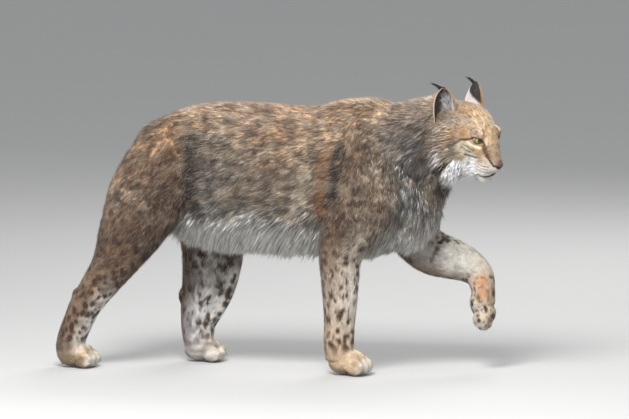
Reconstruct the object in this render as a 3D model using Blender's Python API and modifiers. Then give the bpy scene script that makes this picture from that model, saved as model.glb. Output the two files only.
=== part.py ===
"""A life-size Eurasian lynx in mid stride, parted into its body parts.

The frame is +X towards the nose, +Y to the animal's left and +Z up, in metres, with the floor at z = 0.
Three paws stand on the floor and the left forepaw is lifted. Every surface is the outside of the coat.
"""

import math
import random

import bmesh
import bpy
import numpy as np
from mathutils import Matrix, Vector
from mathutils.bvhtree import BVHTree

GAP = 0.0003
LEFT = 1
RIGHT = -1

BODY_VOXEL = 0.006
BODY_TRIANGLES = 2800
HEAD_VOXEL = 0.0035
HEAD_TRIANGLES = 1350
PAW_VOXEL = 0.0032
PAW_TRIANGLES = 320

# Trunk sections: x, top z, bottom z, half width.
TRUNK = (
    (-0.530, 0.560, 0.450, 0.035),
    (-0.505, 0.592, 0.395, 0.075),
    (-0.460, 0.620, 0.345, 0.100),
    (-0.380, 0.648, 0.300, 0.112),
    (-0.290, 0.659, 0.281, 0.117),
    (-0.190, 0.657, 0.276, 0.122),
    (-0.090, 0.653, 0.275, 0.122),
    (-0.010, 0.668, 0.272, 0.117),
    (0.050, 0.676, 0.270, 0.112),
    (0.110, 0.668, 0.280, 0.104),
    (0.160, 0.640, 0.315, 0.088),
    (0.190, 0.560, 0.385, 0.050),
)
# The core of the trunk ends this far above its true underside, where the belly's locks reach.
BELLY_CORE = 0.022
# Belly locks, in rows: degrees up from straight below, step along x, length, and their way with y outwards.
BELLY_ROWS = (
    (15.0, 0.088, 0.050, (-0.80, 0.05, -0.55)),
    (36.0, 0.058, 0.064, (-0.55, 0.10, -0.85)),
    (58.0, 0.058, 0.082, (-0.38, 0.04, -1.00)),
)
BELLY_SPAN_RIGHT = (-0.310, -0.045)
BELLY_SPAN_LEFT = (-0.310, 0.045)
BELLY_WIDTH = 0.078
BELLY_THICK = 0.009
BELLY_SINK = 0.012
BELLY_BEND = 0.10
# Breast locks: the z of each row on the front of the neck, how many to a row, their spread, middle and size.
BREAST_ROWS = (0.455, 0.408, 0.360)
BREAST_COLUMNS = 3
BREAST_SPREAD = 0.110
BREAST_MIDDLE = 0.012
BREAST_LENGTH = 0.070
BREAST_WIDTH = 0.056
BREAST_THICK = 0.011
BREAST_BEND = 0.14
# Limb and neck sections: x, y, z, half width sideways, half depth across the run.
NECK = (
    (0.010, 0.000, 0.520, 0.095, 0.120),
    (0.080, 0.000, 0.540, 0.097, 0.128),
    (0.140, -0.001, 0.555, 0.092, 0.116),
    (0.192, -0.003, 0.577, 0.084, 0.096),
    (0.245, -0.013, 0.596, 0.081, 0.087),
    (0.300, -0.041, 0.596, 0.077, 0.082),
)
FORELEG_RIGHT = (
    (0.035, -0.040, 0.610, 0.024, 0.045),
    (0.068, -0.076, 0.515, 0.043, 0.078),
    (0.075, -0.092, 0.430, 0.050, 0.084),
    (0.040, -0.100, 0.365, 0.050, 0.074),
    (0.013, -0.100, 0.300, 0.048, 0.060),
    (0.009, -0.096, 0.240, 0.045, 0.052),
    (0.008, -0.091, 0.180, 0.042, 0.047),
    (0.005, -0.086, 0.125, 0.040, 0.042),
    (0.003, -0.083, 0.080, 0.041, 0.041),
    (0.006, -0.081, 0.040, 0.040, 0.040),
)
FORELEG_LEFT = (
    (0.070, 0.040, 0.610, 0.024, 0.045),
    (0.118, 0.076, 0.515, 0.043, 0.078),
    (0.142, 0.090, 0.430, 0.050, 0.082),
    (0.142, 0.097, 0.365, 0.049, 0.074),
    (0.155, 0.100, 0.315, 0.047, 0.066),
    (0.192, 0.100, 0.286, 0.045, 0.061),
    (0.238, 0.100, 0.272, 0.042, 0.055),
    (0.280, 0.098, 0.257, 0.039, 0.047),
    (0.310, 0.096, 0.234, 0.037, 0.039),
    (0.320, 0.095, 0.200, 0.037, 0.033),
    (0.322, 0.094, 0.165, 0.038, 0.031),
)
HINDLEG_RIGHT = (
    (-0.425, -0.036, 0.575, 0.028, 0.055),
    (-0.445, -0.076, 0.508, 0.052, 0.094),
    (-0.478, -0.098, 0.425, 0.060, 0.104),
    (-0.503, -0.104, 0.370, 0.058, 0.094),
    (-0.532, -0.107, 0.312, 0.053, 0.078),
    (-0.565, -0.107, 0.252, 0.047, 0.058),
    (-0.602, -0.105, 0.200, 0.042, 0.048),
    (-0.634, -0.102, 0.155, 0.038, 0.043),
    (-0.655, -0.100, 0.110, 0.037, 0.040),
    (-0.672, -0.098, 0.068, 0.038, 0.039),
    (-0.678, -0.096, 0.038, 0.038, 0.038),
)
HINDLEG_LEFT = (
    (-0.420, 0.036, 0.575, 0.028, 0.055),
    (-0.418, 0.076, 0.508, 0.052, 0.096),
    (-0.402, 0.098, 0.425, 0.060, 0.104),
    (-0.384, 0.104, 0.365, 0.057, 0.096),
    (-0.370, 0.107, 0.305, 0.052, 0.088),
    (-0.371, 0.107, 0.245, 0.046, 0.081),
    (-0.379, 0.105, 0.190, 0.042, 0.073),
    (-0.393, 0.103, 0.140, 0.039, 0.062),
    (-0.406, 0.101, 0.095, 0.038, 0.050),
    (-0.410, 0.100, 0.055, 0.039, 0.044),
)
TAIL = (
    (-0.470, 0.000, 0.570, 0.034, 0.030),
    (-0.505, 0.006, 0.545, 0.031, 0.029),
    (-0.530, 0.012, 0.500, 0.029, 0.029),
    (-0.541, 0.017, 0.450, 0.030, 0.030),
    (-0.547, 0.020, 0.405, 0.030, 0.030),
    (-0.551, 0.022, 0.374, 0.023, 0.023),
    (-0.552, 0.023, 0.358, 0.008, 0.008),
)
# The four paws: where the sole's middle rests, its turn about Z, its pitch, and its size.
PAW_FORE_RIGHT = ((0.020, -0.080, 0.0), -3.0, 0.0, 1.00)
PAW_FORE_LEFT = ((0.290, 0.094, 0.150), 2.0, 72.0, 0.94)
PAW_HIND_RIGHT = ((-0.664, -0.095, 0.0), -4.0, 0.0, 0.97)
PAW_HIND_LEFT = ((-0.396, 0.100, 0.0), 4.0, 0.0, 0.97)
PAW_ROWS = 4

# Rounded masses of the body: the tops of the shoulder blades, the hocks' points, the breast and the throat.
BODY_MASSES = (
    ((0.020, -0.042, 0.618), (0.088, 0.034, 0.055)),
    ((0.045, 0.042, 0.612), (0.088, 0.034, 0.053)),
    ((-0.650, -0.102, 0.172), (0.022, 0.022, 0.030)),
    ((-0.436, 0.104, 0.160), (0.022, 0.022, 0.030)),
    ((0.150, 0.010, 0.420), (0.090, 0.090, 0.125)),
    ((0.190, 0.010, 0.490), (0.072, 0.070, 0.110)),
)

# A paw in its own frame, toes along x: the palm's masses, and the toes' place and size.
PALM = (
    ((-0.004, 0.0, 0.032), (0.044, 0.041, 0.034)),
    ((0.018, 0.0, 0.036), (0.034, 0.043, 0.028)),
)
TOE_RADII = (0.027, 0.0125, 0.0235)
TOE_REACH = 0.032
TOE_ARC = 0.011
TOE_PITCH = 0.0225
TOE_HEIGHT = 0.0235
TOE_SPLAY = 0.11

# The rounded region that takes a limb from the trunk: how far it is moved outwards, how much wider and deeper
# than the limb it is, and how far it runs on past the last section.
REGION_OUT = 0.030
REGION_SPARE = 0.014
REGION_DEEP = {"fore": 0.014, "hind": 0.036}
REGION_TAIL = 0.100
REGION_VOXEL = 0.010
REGION_TRIANGLES = 200

# Where the limbs are parted: a point on the joint and the way the cut faces.
ELBOW_RIGHT = ((0.022, -0.100, 0.325), (0.25, 0.0, 1.0))
WRIST_RIGHT = ((0.005, -0.085, 0.088), (0.0, 0.0, 1.0))
ELBOW_LEFT = ((0.165, 0.098, 0.305), (-0.85, 0.0, 0.50))
WRIST_LEFT = ((0.313, 0.096, 0.222), (-0.22, 0.0, 1.0))
KNEE_RIGHT = ((-0.515, -0.105, 0.335), (0.45, 0.0, 0.90))
HOCK_RIGHT = ((-0.650, -0.100, 0.110), (0.35, 0.0, 0.94))
KNEE_LEFT = ((-0.372, 0.105, 0.315), (-0.10, 0.0, 1.0))
HOCK_LEFT = ((-0.410, 0.102, 0.100), (-0.10, 0.0, 1.0))
NECK_BASE = ((0.125, 0.0, 0.545), (1.0, 0.0, 0.22))

# The head in its own frame: x towards the nose from the ears, z up.
HEAD_PLACE = (0.301, -0.041, 0.592)
HEAD_TURN = -28.0
HEAD_NOD = 15.0
HEAD_ROLL = 4.0
HEAD_BLOCK = 0.27
# The nape: where the head is parted from the neck, and the way that cut faces, in the head's frame.
NAPE = ((-0.048, 0.0, 0.0), (1.0, 0.0, 0.42))
# Skull sections: x, top z, bottom z, half width.
SKULL = (
    (-0.110, 0.056, -0.070, 0.056),
    (-0.070, 0.073, -0.076, 0.066),
    (-0.030, 0.083, -0.078, 0.071),
    (0.000, 0.087, -0.078, 0.071),
    (0.030, 0.087, -0.079, 0.067),
    (0.055, 0.079, -0.080, 0.058),
    (0.076, 0.063, -0.080, 0.047),
    (0.092, 0.043, -0.079, 0.038),
    (0.104, 0.020, -0.077, 0.032),
    (0.114, 0.003, -0.068, 0.027),
    (0.124, -0.011, -0.058, 0.022),
    (0.133, -0.020, -0.050, 0.014),
)
# Rounded masses of the face: centre, radii. Those off the middle line are mirrored.
FACE = (
    ((0.092, 0.000, -0.078), (0.022, 0.021, 0.0150)),
    ((0.101, 0.0155, -0.050), (0.022, 0.0180, 0.022)),
    ((0.036, 0.038, -0.018), (0.046, 0.036, 0.050)),
    ((0.074, 0.027, 0.030), (0.021, 0.021, 0.0165)),
    ((0.008, 0.040, -0.040), (0.050, 0.036, 0.052)),
)
EYE_RADIUS = 0.0125
EYE_PLACE = (0.0775, 0.0320, 0.0185)
EYE_AIM = (0.82, 0.57, 0.06)
SLIT_WIDTH = 0.0260
SLIT_HEIGHT = 0.0136
SLIT_SLANT = 15.0
SLIT_POINTS = 16
LID_RADIUS = 0.0019
NOSE_PLACE = (0.1300, 0.0, -0.0345)
NOSE_RADII = (0.0115, 0.0165, 0.0125)
NOSTRIL_PLACE = (0.1400, 0.0075, -0.0375)
NOSTRIL_RADII = (0.0060, 0.0034, 0.0026)
# The mouth's line from its corner to the middle under the nose: x, z.
MOUTH = ((0.076, -0.0655), (0.090, -0.0705), (0.104, -0.0705), (0.115, -0.0655), (0.1215, -0.0600))
MOUTH_RADIUS = 0.0017

# The ruff: rows of locks on each cheek, the lowest first. A row's roots run from its back place to its front
# place, as x and z; then how many locks it has and how long they are.
RUFF_ROWS = (
    ((-0.026, -0.036), (0.070, -0.070), 5, 0.068),
    ((-0.036, -0.012), (0.050, -0.036), 4, 0.064),
    ((-0.046, 0.016), (0.030, -0.008), 3, 0.062),
    ((-0.054, 0.042), (0.000, 0.020), 2, 0.054),
)
# The ways the ruff's locks run at the back and at the front, with y outwards.
RUFF_BACK = (-0.22, 0.34, -1.00)
RUFF_FRONT = (-0.38, 0.40, -0.82)
RUFF_WIDTH = 0.040
RUFF_THICK = 0.0080
RUFF_SINK = 0.008
RUFF_BEND = 0.16
LOCK_VARIES = 0.16
# A lock's width at its root, its widest place and near its tip, each with its share of the length.
LOCK_SHAPE = ((0.0, 0.82), (0.40, 1.0), (0.76, 0.62))
LOCK_TWIST = 0.22
SEED = 7

# The ears: the foot's middle, the way the tip points, the way the cup opens, and its sizes.
EAR_FOOT = (-0.012, 0.050, 0.046)
EAR_UP = (-0.06, 0.20, 0.97)
EAR_OPENS = {LEFT: (0.12, 1.00, 0.0), RIGHT: (0.62, -0.78, 0.0)}
EAR_HEIGHT = 0.073
EAR_HALF_WIDTH = 0.0255
EAR_DEPTH = 0.0240
EAR_TIP = 0.0025
EAR_WALL = 0.0048
EAR_CURL = 105.0
EAR_LEAN = 0.008
EAR_ROWS = 9
EAR_COLUMNS = 12
EAR_VOXEL = 0.0016
EAR_TRIANGLES = 280
TUFT_LENGTH = 0.050
TUFT_WIDTH = 0.0100


# Colour and roughness by a word in the node's name.
COLOURS = {
    "forepaw": ((0.58, 0.47, 0.36), 0.90),
    "hindpaw": ((0.52, 0.41, 0.31), 0.90),
    "foreleg": ((0.55, 0.47, 0.38), 0.90),
    "hindleg": ((0.40, 0.29, 0.20), 0.90),
    "torso": ((0.44, 0.34, 0.25), 0.90),
    "neck": ((0.46, 0.39, 0.31), 0.90),
    "tail": ((0.36, 0.27, 0.19), 0.90),
    "head": ((0.52, 0.40, 0.29), 0.90),
    "ear": ((0.24, 0.21, 0.18), 0.90),
    "eye": ((0.36, 0.27, 0.08), 0.15),
    "nose": ((0.30, 0.17, 0.14), 0.45),
}


def clear_scene():
    """Removes every object of the open scene."""
    for obj in list(bpy.data.objects):
        bpy.data.objects.remove(obj, do_unlink=True)


def new_collection(name, hidden=False):
    """A collection under the scene's own."""
    made = bpy.data.collections.new(name)
    bpy.context.scene.collection.children.link(made)
    made.hide_render = hidden
    return made


def new_material(name, colour, roughness):
    """A plain Principled material."""
    made = bpy.data.materials.new(name)
    made.use_nodes = True
    shader = made.node_tree.nodes["Principled BSDF"]
    shader.inputs["Base Color"].default_value = (*colour, 1.0)
    shader.inputs["Roughness"].default_value = roughness
    shader.inputs["Metallic"].default_value = 0.0
    return made


def catmull_rom(rows, steps):
    """Points on the smooth curve through the rows, every column alike."""
    rows = np.asarray(rows, float)
    padded = np.vstack([2 * rows[0] - rows[1], rows, 2 * rows[-1] - rows[-2]])
    found = []
    for i in range(len(rows) - 1):
        a, b, c, d = padded[i : i + 4]
        square, cube = 2 * a - 5 * b + 4 * c - d, 3 * b - a - 3 * c + d
        for t in np.arange(steps) / steps:
            found.append(0.5 * (2 * b + (c - a) * t + square * t**2 + cube * t**3))
    return np.array([*found, rows[-1]])


def unit(vector):
    """The vector at length one."""
    return Vector(vector).normalized()


def add_tube(bm, rows, sides=20, steps=4, along=None):
    """A closed tube of elliptical sections: rows of x, y, z, half width sideways, half depth."""
    rows = catmull_rom(rows, steps)
    rings = []
    for i, (x, y, z, wide, deep) in enumerate(rows):
        before, after = rows[max(i - 1, 0), :3], rows[min(i + 1, len(rows) - 1), :3]
        run = unit(along or after - before)
        side = unit(Vector((0, 1, 0)) - run * run.y)
        across = run.cross(side)
        ring = []
        for k in range(sides):
            turn = math.tau * k / sides
            reach = side * (wide * math.cos(turn)) + across * (deep * math.sin(turn))
            ring.append(bm.verts.new(Vector((x, y, z)) + reach))
        rings.append(ring)
    for low, high in zip(rings, rings[1:]):
        for k in range(sides):
            bm.faces.new((low[k], low[(k + 1) % sides], high[(k + 1) % sides], high[k]))
    bm.faces.new(rings[0][::-1])
    bm.faces.new(rings[-1])


def add_body_sections(bm, rows, sides=28):
    """A closed tube along X from rows of x, top z, bottom z, half width."""
    tube = [(x, 0.0, (top + low) / 2, wide, (top - low) / 2) for x, top, low, wide in rows]
    add_tube(bm, tube, sides, along=(1.0, 0.0, 0.0))


def add_ellipsoid(bm, centre, radii, turn=Matrix.Identity(4), segments=16, rings=10):
    """A closed ellipsoid."""
    place = Matrix.Translation(centre) @ turn @ Matrix.Diagonal((*radii, 1.0))
    bmesh.ops.create_uvsphere(bm, u_segments=segments, v_segments=rings, radius=1.0, matrix=place)


def add_to_scene(name, bm, collection):
    """The bmesh as an object with its faces pointing out."""
    bmesh.ops.recalc_face_normals(bm, faces=bm.faces)
    mesh = bpy.data.meshes.new(name)
    bm.to_mesh(mesh)
    bm.free()
    obj = bpy.data.objects.new(name, mesh)
    collection.objects.link(obj)
    return obj


def apply_modifiers(obj):
    """Makes the evaluated mesh the object's own."""
    bpy.context.view_layer.update()
    graph = bpy.context.evaluated_depsgraph_get()
    made = bpy.data.meshes.new_from_object(obj.evaluated_get(graph))
    old = obj.data
    obj.modifiers.clear()
    obj.data = made
    bpy.data.meshes.remove(old)


def fuse_soft(obj, voxel, smoothing, triangles):
    """Fuses overlapping closed shapes into one smooth skin of about that many triangles."""
    remesh = obj.modifiers.new("fuse", "REMESH")
    remesh.mode = "VOXEL"
    remesh.voxel_size = voxel
    soften = obj.modifiers.new("soften", "SMOOTH")
    soften.factor = 0.5
    soften.iterations = smoothing
    apply_modifiers(obj)
    thin = obj.modifiers.new("thin", "DECIMATE")
    thin.ratio = triangles / (2 * len(obj.data.polygons))
    apply_modifiers(obj)
    keep_largest(obj)


def islands(bm):
    """The bmesh's faces, grouped into connected surfaces."""
    left = set(bm.faces)
    groups = []
    while left:
        group, edge_of = set(), [left.pop()]
        while edge_of:
            face = edge_of.pop()
            group.add(face)
            for edge in face.edges:
                for other in edge.link_faces:
                    if other in left:
                        left.discard(other)
                        edge_of.append(other)
        groups.append(group)
    return groups


def keep_largest(obj):
    """Keeps only the closed surface with the largest box."""
    bm = bmesh.new()
    bm.from_mesh(obj.data)
    bmesh.ops.triangulate(bm, faces=bm.faces)
    groups = islands(bm)

    def reach(group):
        points = np.array([v.co for face in group for v in face.verts])
        return float(np.prod(np.ptp(points, axis=0)))

    best = max(groups, key=reach)
    spare = [face for group in groups if group is not best for face in group]
    bmesh.ops.delete(bm, geom=spare, context="FACES")
    bmesh.ops.delete(bm, geom=[v for v in bm.verts if not v.link_faces], context="VERTS")
    bm.to_mesh(obj.data)
    bm.free()


def boolean(obj, other, operation, solver="EXACT"):
    """Applies one Boolean of the object with another."""
    step = obj.modifiers.new(operation, "BOOLEAN")
    step.operation = operation
    step.solver = solver
    step.object = other
    apply_modifiers(obj)


def copy_of(obj, name, collection):
    """A copy with its own mesh."""
    made = obj.copy()
    made.data = obj.data.copy()
    made.name = name
    collection.objects.link(made)
    return made


def swollen(obj, by, collection):
    """A copy whose skin stands outside the object's by that much."""
    made = copy_of(obj, obj.name + "_swollen", collection)
    mesh = made.data
    normals = [v.normal.copy() for v in mesh.vertices]
    for vertex, normal in zip(mesh.vertices, normals):
        vertex.co += normal * by
    return made


def drop(obj):
    """Removes an object and its mesh."""
    mesh = obj.data
    bpy.data.objects.remove(obj, do_unlink=True)
    bpy.data.meshes.remove(mesh)


def fit_against(obj, host, cutters, by=GAP):
    """Cuts the object clear of its host, so that the two meet face to face."""
    shell = swollen(host, by, cutters)
    boolean(obj, shell, "DIFFERENCE")
    drop(shell)
    keep_largest(obj)


def slab(point, facing, thickness, size, cutters):
    """A thin square plate through a point, facing one way."""
    bm = bmesh.new()
    turn = Vector((0, 0, 1)).rotation_difference(unit(facing)).to_matrix().to_4x4()
    place = Matrix.Translation(point) @ turn @ Matrix.Diagonal((size, size, thickness, 1.0))
    bmesh.ops.create_cube(bm, size=1.0, matrix=place)
    return add_to_scene("slab", bm, cutters)


def half_space(point, facing, cutters, size=1.6):
    """A large block whose one face passes through the point and which lies on the side it faces."""
    middle = Vector(point) + unit(facing) * (size / 2)
    return slab(middle, facing, size, size, cutters)


def part_in_two(obj, point, facing, name_ahead, cutters):
    """Cuts the object across, keeps what lies behind and returns what lies ahead as a new object."""
    ahead = copy_of(obj, name_ahead, obj.users_collection[0])
    step = unit(facing) * (GAP / 2)
    front = half_space(Vector(point) - step, facing, cutters)
    back = half_space(Vector(point) + step, [-c for c in facing], cutters)
    boolean(obj, front, "DIFFERENCE")
    boolean(ahead, back, "DIFFERENCE")
    drop(front)
    drop(back)
    keep_largest(obj)
    keep_largest(ahead)
    return ahead


def add_paw(bm, place, turn, pitch, size):
    """A broad paw: a palm and four round toes, in a frame with its sole at z = 0."""
    spin = Matrix.Rotation(math.radians(turn), 4, "Z") @ Matrix.Rotation(math.radians(pitch), 4, "Y")
    frame = Matrix.Translation(place) @ spin @ Matrix.Scale(size, 4)
    for centre, radii in PALM:
        add_ellipsoid(bm, frame @ Vector(centre), [r * size for r in radii], spin)
    for step in (-1.5, -0.5, 0.5, 1.5):
        middle = 1.0 - abs(step) / 1.5
        centre = Vector((TOE_REACH + TOE_ARC * middle, step * TOE_PITCH, TOE_HEIGHT))
        splay = spin @ Matrix.Rotation(step * TOE_SPLAY, 4, "Z")
        add_ellipsoid(bm, frame @ centre, [r * size for r in TOE_RADII], splay)


def build_paw(name, rows, paw, joint, nodes, cutters):
    """One paw with the end of its leg, cut level with the floor and parted at its joint."""
    bm = bmesh.new()
    add_tube(bm, rows[-PAW_ROWS:])
    add_paw(bm, *paw)
    foot = add_to_scene(name, bm, nodes)
    fuse_soft(foot, PAW_VOXEL, 4, PAW_TRIANGLES)
    point, facing = joint
    leg = half_space(Vector(point) - unit(facing) * (GAP / 2), facing, cutters)
    floor = half_space((0, 0, 0), (0, 0, -1), cutters, 3.0)
    for block in (leg, floor):
        boolean(foot, block, "DIFFERENCE")
        drop(block)
    keep_largest(foot)
    return foot


def build_body(nodes, cutters):
    """Trunk, neck, legs and paws in one skin, then parted at the joints."""
    bm = bmesh.new()
    add_body_sections(bm, [(x, top, low + BELLY_CORE, wide) for x, top, low, wide in TRUNK])
    for rows in (NECK, FORELEG_RIGHT, FORELEG_LEFT, HINDLEG_RIGHT, HINDLEG_LEFT):
        add_tube(bm, rows)
    for centre, radii in BODY_MASSES:
        add_ellipsoid(bm, centre, radii)
    body = add_to_scene("torso", bm, nodes)
    fuse_soft(body, BODY_VOXEL, 6, BODY_TRIANGLES)
    return body


def limb_region(rows, deeper, cutters):
    """A fat rounded tube about a limb, wide enough sideways to cross the trunk's skin steeply."""
    run_in = unit(Vector(rows[-1][:3]) - Vector(rows[-2][:3]))
    end = Vector(rows[-1][:3]) + run_in * REGION_TAIL
    fat = []
    spread = (rows[-1][3] + REGION_OUT, rows[-1][4] + REGION_OUT * 2)
    for x, y, z, wide, deep in (*rows[1:], (*end, *spread)):
        away = math.copysign(REGION_OUT, y)
        fat.append((x, y + away, z, wide + REGION_OUT + REGION_SPARE, deep + deeper))
    bm = bmesh.new()
    add_tube(bm, fat, sides=16, steps=2)
    top = Vector(fat[0][:3])
    add_ellipsoid(bm, top, (fat[0][4], fat[0][3], fat[0][4] * 0.6))
    region = add_to_scene("region", bm, cutters)
    fuse_soft(region, REGION_VOXEL, 10, REGION_TRIANGLES)
    return region


def take_limb(body, rows, name, nodes, cutters):
    """Parts one limb from the body along the region round it."""
    inner = limb_region(rows, REGION_DEEP[name[:4]], cutters)
    outer = swollen(inner, GAP, cutters)
    limb = copy_of(body, name, nodes)
    boolean(limb, inner, "INTERSECT")
    boolean(body, outer, "DIFFERENCE")
    drop(inner)
    drop(outer)
    keep_largest(limb)
    keep_largest(body)
    return limb


def head_matrix():
    """Where the head's own frame stands in the animal's."""
    turn = Matrix.Rotation(math.radians(HEAD_TURN), 4, "Z") @ Matrix.Rotation(math.radians(HEAD_NOD), 4, "Y")
    return Matrix.Translation(HEAD_PLACE) @ turn @ Matrix.Rotation(math.radians(HEAD_ROLL), 4, "X")


def mirrored(vector, side):
    """The vector on the left, or its mirror on the right."""
    return Vector((vector[0], vector[1] * side, vector[2]))


def build_skull(nodes):
    """The head's mass without ears, eyes or nose."""
    bm = bmesh.new()
    add_body_sections(bm, SKULL)
    for centre, radii in FACE:
        for side in (LEFT, RIGHT):
            add_ellipsoid(bm, mirrored(centre, side), radii)
    head = add_to_scene("head", bm, nodes)
    fuse_soft(head, HEAD_VOXEL, 8, HEAD_TRIANGLES)
    return head


def add_lock(root, run, face, length, width, thick, pull, bend, locks):
    """A flat tapered lock: its middle line runs from the root and bends towards the pull."""
    bm = bmesh.new()
    run, pull = unit(run), unit(pull)
    rings = []
    face = Matrix.Rotation(LOCK_TWIST, 3, run) @ Vector(face)
    for t, share in LOCK_SHAPE:
        middle = Vector(root) + run * (length * t) + pull * (length * bend * t * t)
        way = unit(run + pull * (2 * bend * t))
        side = unit(way.cross(face))
        flat = side.cross(way)
        half, low = side * (width * share / 2), flat * (thick * share / 2)
        rings.append([bm.verts.new(middle + step) for step in (half, low, -half, -low)])
    tip = bm.verts.new(Vector(root) + run * length + pull * (length * bend))
    for first, second in zip(rings, rings[1:]):
        for k in range(4):
            bm.faces.new((first[k], first[(k + 1) % 4], second[(k + 1) % 4], second[k]))
    for k in range(4):
        bm.faces.new((rings[-1][k], rings[-1][(k + 1) % 4], tip))
    bm.faces.new(rings[0][::-1])
    return add_to_scene("lock", bm, locks)


def varied(size, chance):
    """The size, changed at random by up to the coat's variation."""
    return size * (1.0 + LOCK_VARIES * chance.uniform(-1.0, 1.0))


def add_ruff(head, locks, chance):
    """The ruff of long cheek fur: rows that hang one over the other."""
    tree = skin_tree(head)
    for side in (LEFT, RIGHT):
        for back, front, count, length in RUFF_ROWS:
            for k in range(count):
                t = (k + 0.5 + 0.15 * chance.uniform(-1.0, 1.0)) / count
                x, z = (low + (high - low) * t for low, high in zip(back, front))
                hit, normal = tree.ray_cast(Vector((x, side * 0.2, z)), Vector((0, -side, 0)))[:2]
                run = unit(mirrored(Vector(RUFF_BACK).lerp(RUFF_FRONT, t), side))
                root = hit - normal * RUFF_SINK - run * RUFF_SINK
                reach = varied(length, chance) + RUFF_SINK
                wide = varied(RUFF_WIDTH, chance)
                add_lock(root, run, normal, reach, wide, RUFF_THICK, (0, -side * 0.5, -1), RUFF_BEND, locks)


def trunk_section(x):
    """Top, bottom and half width of the trunk's true outline at x."""
    rows = np.array(TRUNK)
    return [float(np.interp(x, rows[:, 0], rows[:, k])) for k in (1, 2, 3)]


def add_belly_locks(locks, chance):
    """The long fur that hangs along both sides of the belly, row over row."""
    for side, (low, high) in ((LEFT, BELLY_SPAN_LEFT), (RIGHT, BELLY_SPAN_RIGHT)):
        for row, (angle, step, length, way) in enumerate(BELLY_ROWS):
            alpha = math.radians(angle)
            normal = unit((0, side * math.sin(alpha), -math.cos(alpha)))
            run = unit(mirrored(way, side))
            for x in np.arange(low + step * 0.5 * (row % 2), high, step):
                top, bottom, wide = trunk_section(x)
                half = (top - bottom - BELLY_CORE) / 2
                skin = Vector((x, side * wide * math.sin(alpha), top - half * (1.0 + math.cos(alpha))))
                root = skin - normal * (BELLY_SINK * 0.5) - run * BELLY_SINK
                reach = varied(length, chance) + BELLY_SINK
                wide = varied(BELLY_WIDTH, chance)
                add_lock(root, run, normal, reach, wide, BELLY_THICK, (0, 0, -1), BELLY_BEND, locks)


def add_breast_locks(body, locks, chance):
    """The long fur down the front of the neck and breast."""
    tree = skin_tree(body)
    for row, z in enumerate(BREAST_ROWS):
        for k in range(BREAST_COLUMNS):
            across = (k + 0.5 * (row % 2)) / (BREAST_COLUMNS - 0.5) - 0.5
            y = across * BREAST_SPREAD + BREAST_MIDDLE
            hit, normal = tree.ray_cast(Vector((0.6, y, z)), Vector((-1, 0, 0)))[:2]
            run = unit((0.30, across * 0.6, -1.0))
            root = hit - normal * BELLY_SINK
            length, wide = varied(BREAST_LENGTH, chance), varied(BREAST_WIDTH, chance)
            add_lock(root, run, normal, length, wide, BREAST_THICK, (-1, 0, 0), BREAST_BEND, locks)


def fuse_locks(obj, locks, frame=None):
    """Fuses every lock of the collection, made in the given frame, to the object they grow from."""
    for lock in locks.objects:
        lock.parent = frame
    bpy.context.view_layer.update()
    step = obj.modifiers.new("fuse_locks", "BOOLEAN")
    step.operation = "UNION"
    step.solver = "EXACT"
    step.operand_type = "COLLECTION"
    step.collection = locks
    apply_modifiers(obj)
    for lock in list(locks.objects):
        drop(lock)
    keep_largest(obj)


def eye_frame(side):
    """The eye's middle, its aim, and the slit's long and short ways."""
    aim = unit(mirrored(EYE_AIM, side))
    level = unit(Vector((0, 0, 1)).cross(aim)) * side
    upright = aim.cross(level) * side
    slant = math.radians(SLIT_SLANT)
    long_way = level * math.cos(slant) + upright * math.sin(slant)
    short_way = upright * math.cos(slant) - level * math.sin(slant)
    return mirrored(EYE_PLACE, side), aim, long_way, short_way


def slit_outline(grow=0.0):
    """The almond of the open lids, wider by grow, as pairs along the slit's long and short ways."""
    points = []
    for k in range(SLIT_POINTS):
        turn = math.tau * k / SLIT_POINTS
        along = math.cos(turn)
        rise = math.sin(turn) * (1.0 - 0.35 * along * along)
        points.append((along * (SLIT_WIDTH / 2 + grow), rise * (SLIT_HEIGHT / 2 + grow)))
    return points


def build_slit(side, cutters):
    """The prism that opens the lids in front of the eye."""
    place, aim, long_way, short_way = eye_frame(side)
    bm = bmesh.new()
    ends = []
    for depth in (0.0, 0.04):
        start = place + aim * depth
        ends.append([bm.verts.new(start + long_way * a + short_way * b) for a, b in slit_outline()])
    for k in range(SLIT_POINTS):
        after = (k + 1) % SLIT_POINTS
        bm.faces.new((ends[0][k], ends[0][after], ends[1][after], ends[1][k]))
    bm.faces.new(ends[0][::-1])
    bm.faces.new(ends[1])
    return add_to_scene("slit", bm, cutters)


def tube_through(name, points, radius, closed, collection):
    """A round tube along the points, made from a bevelled curve and closed as one mesh."""
    curve = bpy.data.curves.new(name, "CURVE")
    curve.dimensions = "3D"
    curve.bevel_depth = radius
    curve.bevel_resolution = 1
    curve.use_fill_caps = True
    line = curve.splines.new("POLY")
    line.points.add(len(points) - 1)
    for point, place in zip(line.points, points):
        point.co = (*place, 1.0)
    line.use_cyclic_u = closed
    guide = bpy.data.objects.new(name + "_line", curve)
    collection.objects.link(guide)
    bpy.context.view_layer.update()
    graph = bpy.context.evaluated_depsgraph_get()
    mesh = bpy.data.meshes.new_from_object(guide.evaluated_get(graph))
    bm = bmesh.new()
    bm.from_mesh(mesh)
    bmesh.ops.remove_doubles(bm, verts=bm.verts, dist=0.00002)
    bpy.data.objects.remove(guide)
    bpy.data.meshes.remove(mesh)
    return add_to_scene(name, bm, collection)


def skin_tree(obj):
    """A search tree of the object's surface."""
    bm = bmesh.new()
    bm.from_mesh(obj.data)
    tree = BVHTree.FromBMesh(bm)
    bm.free()
    return tree


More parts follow.
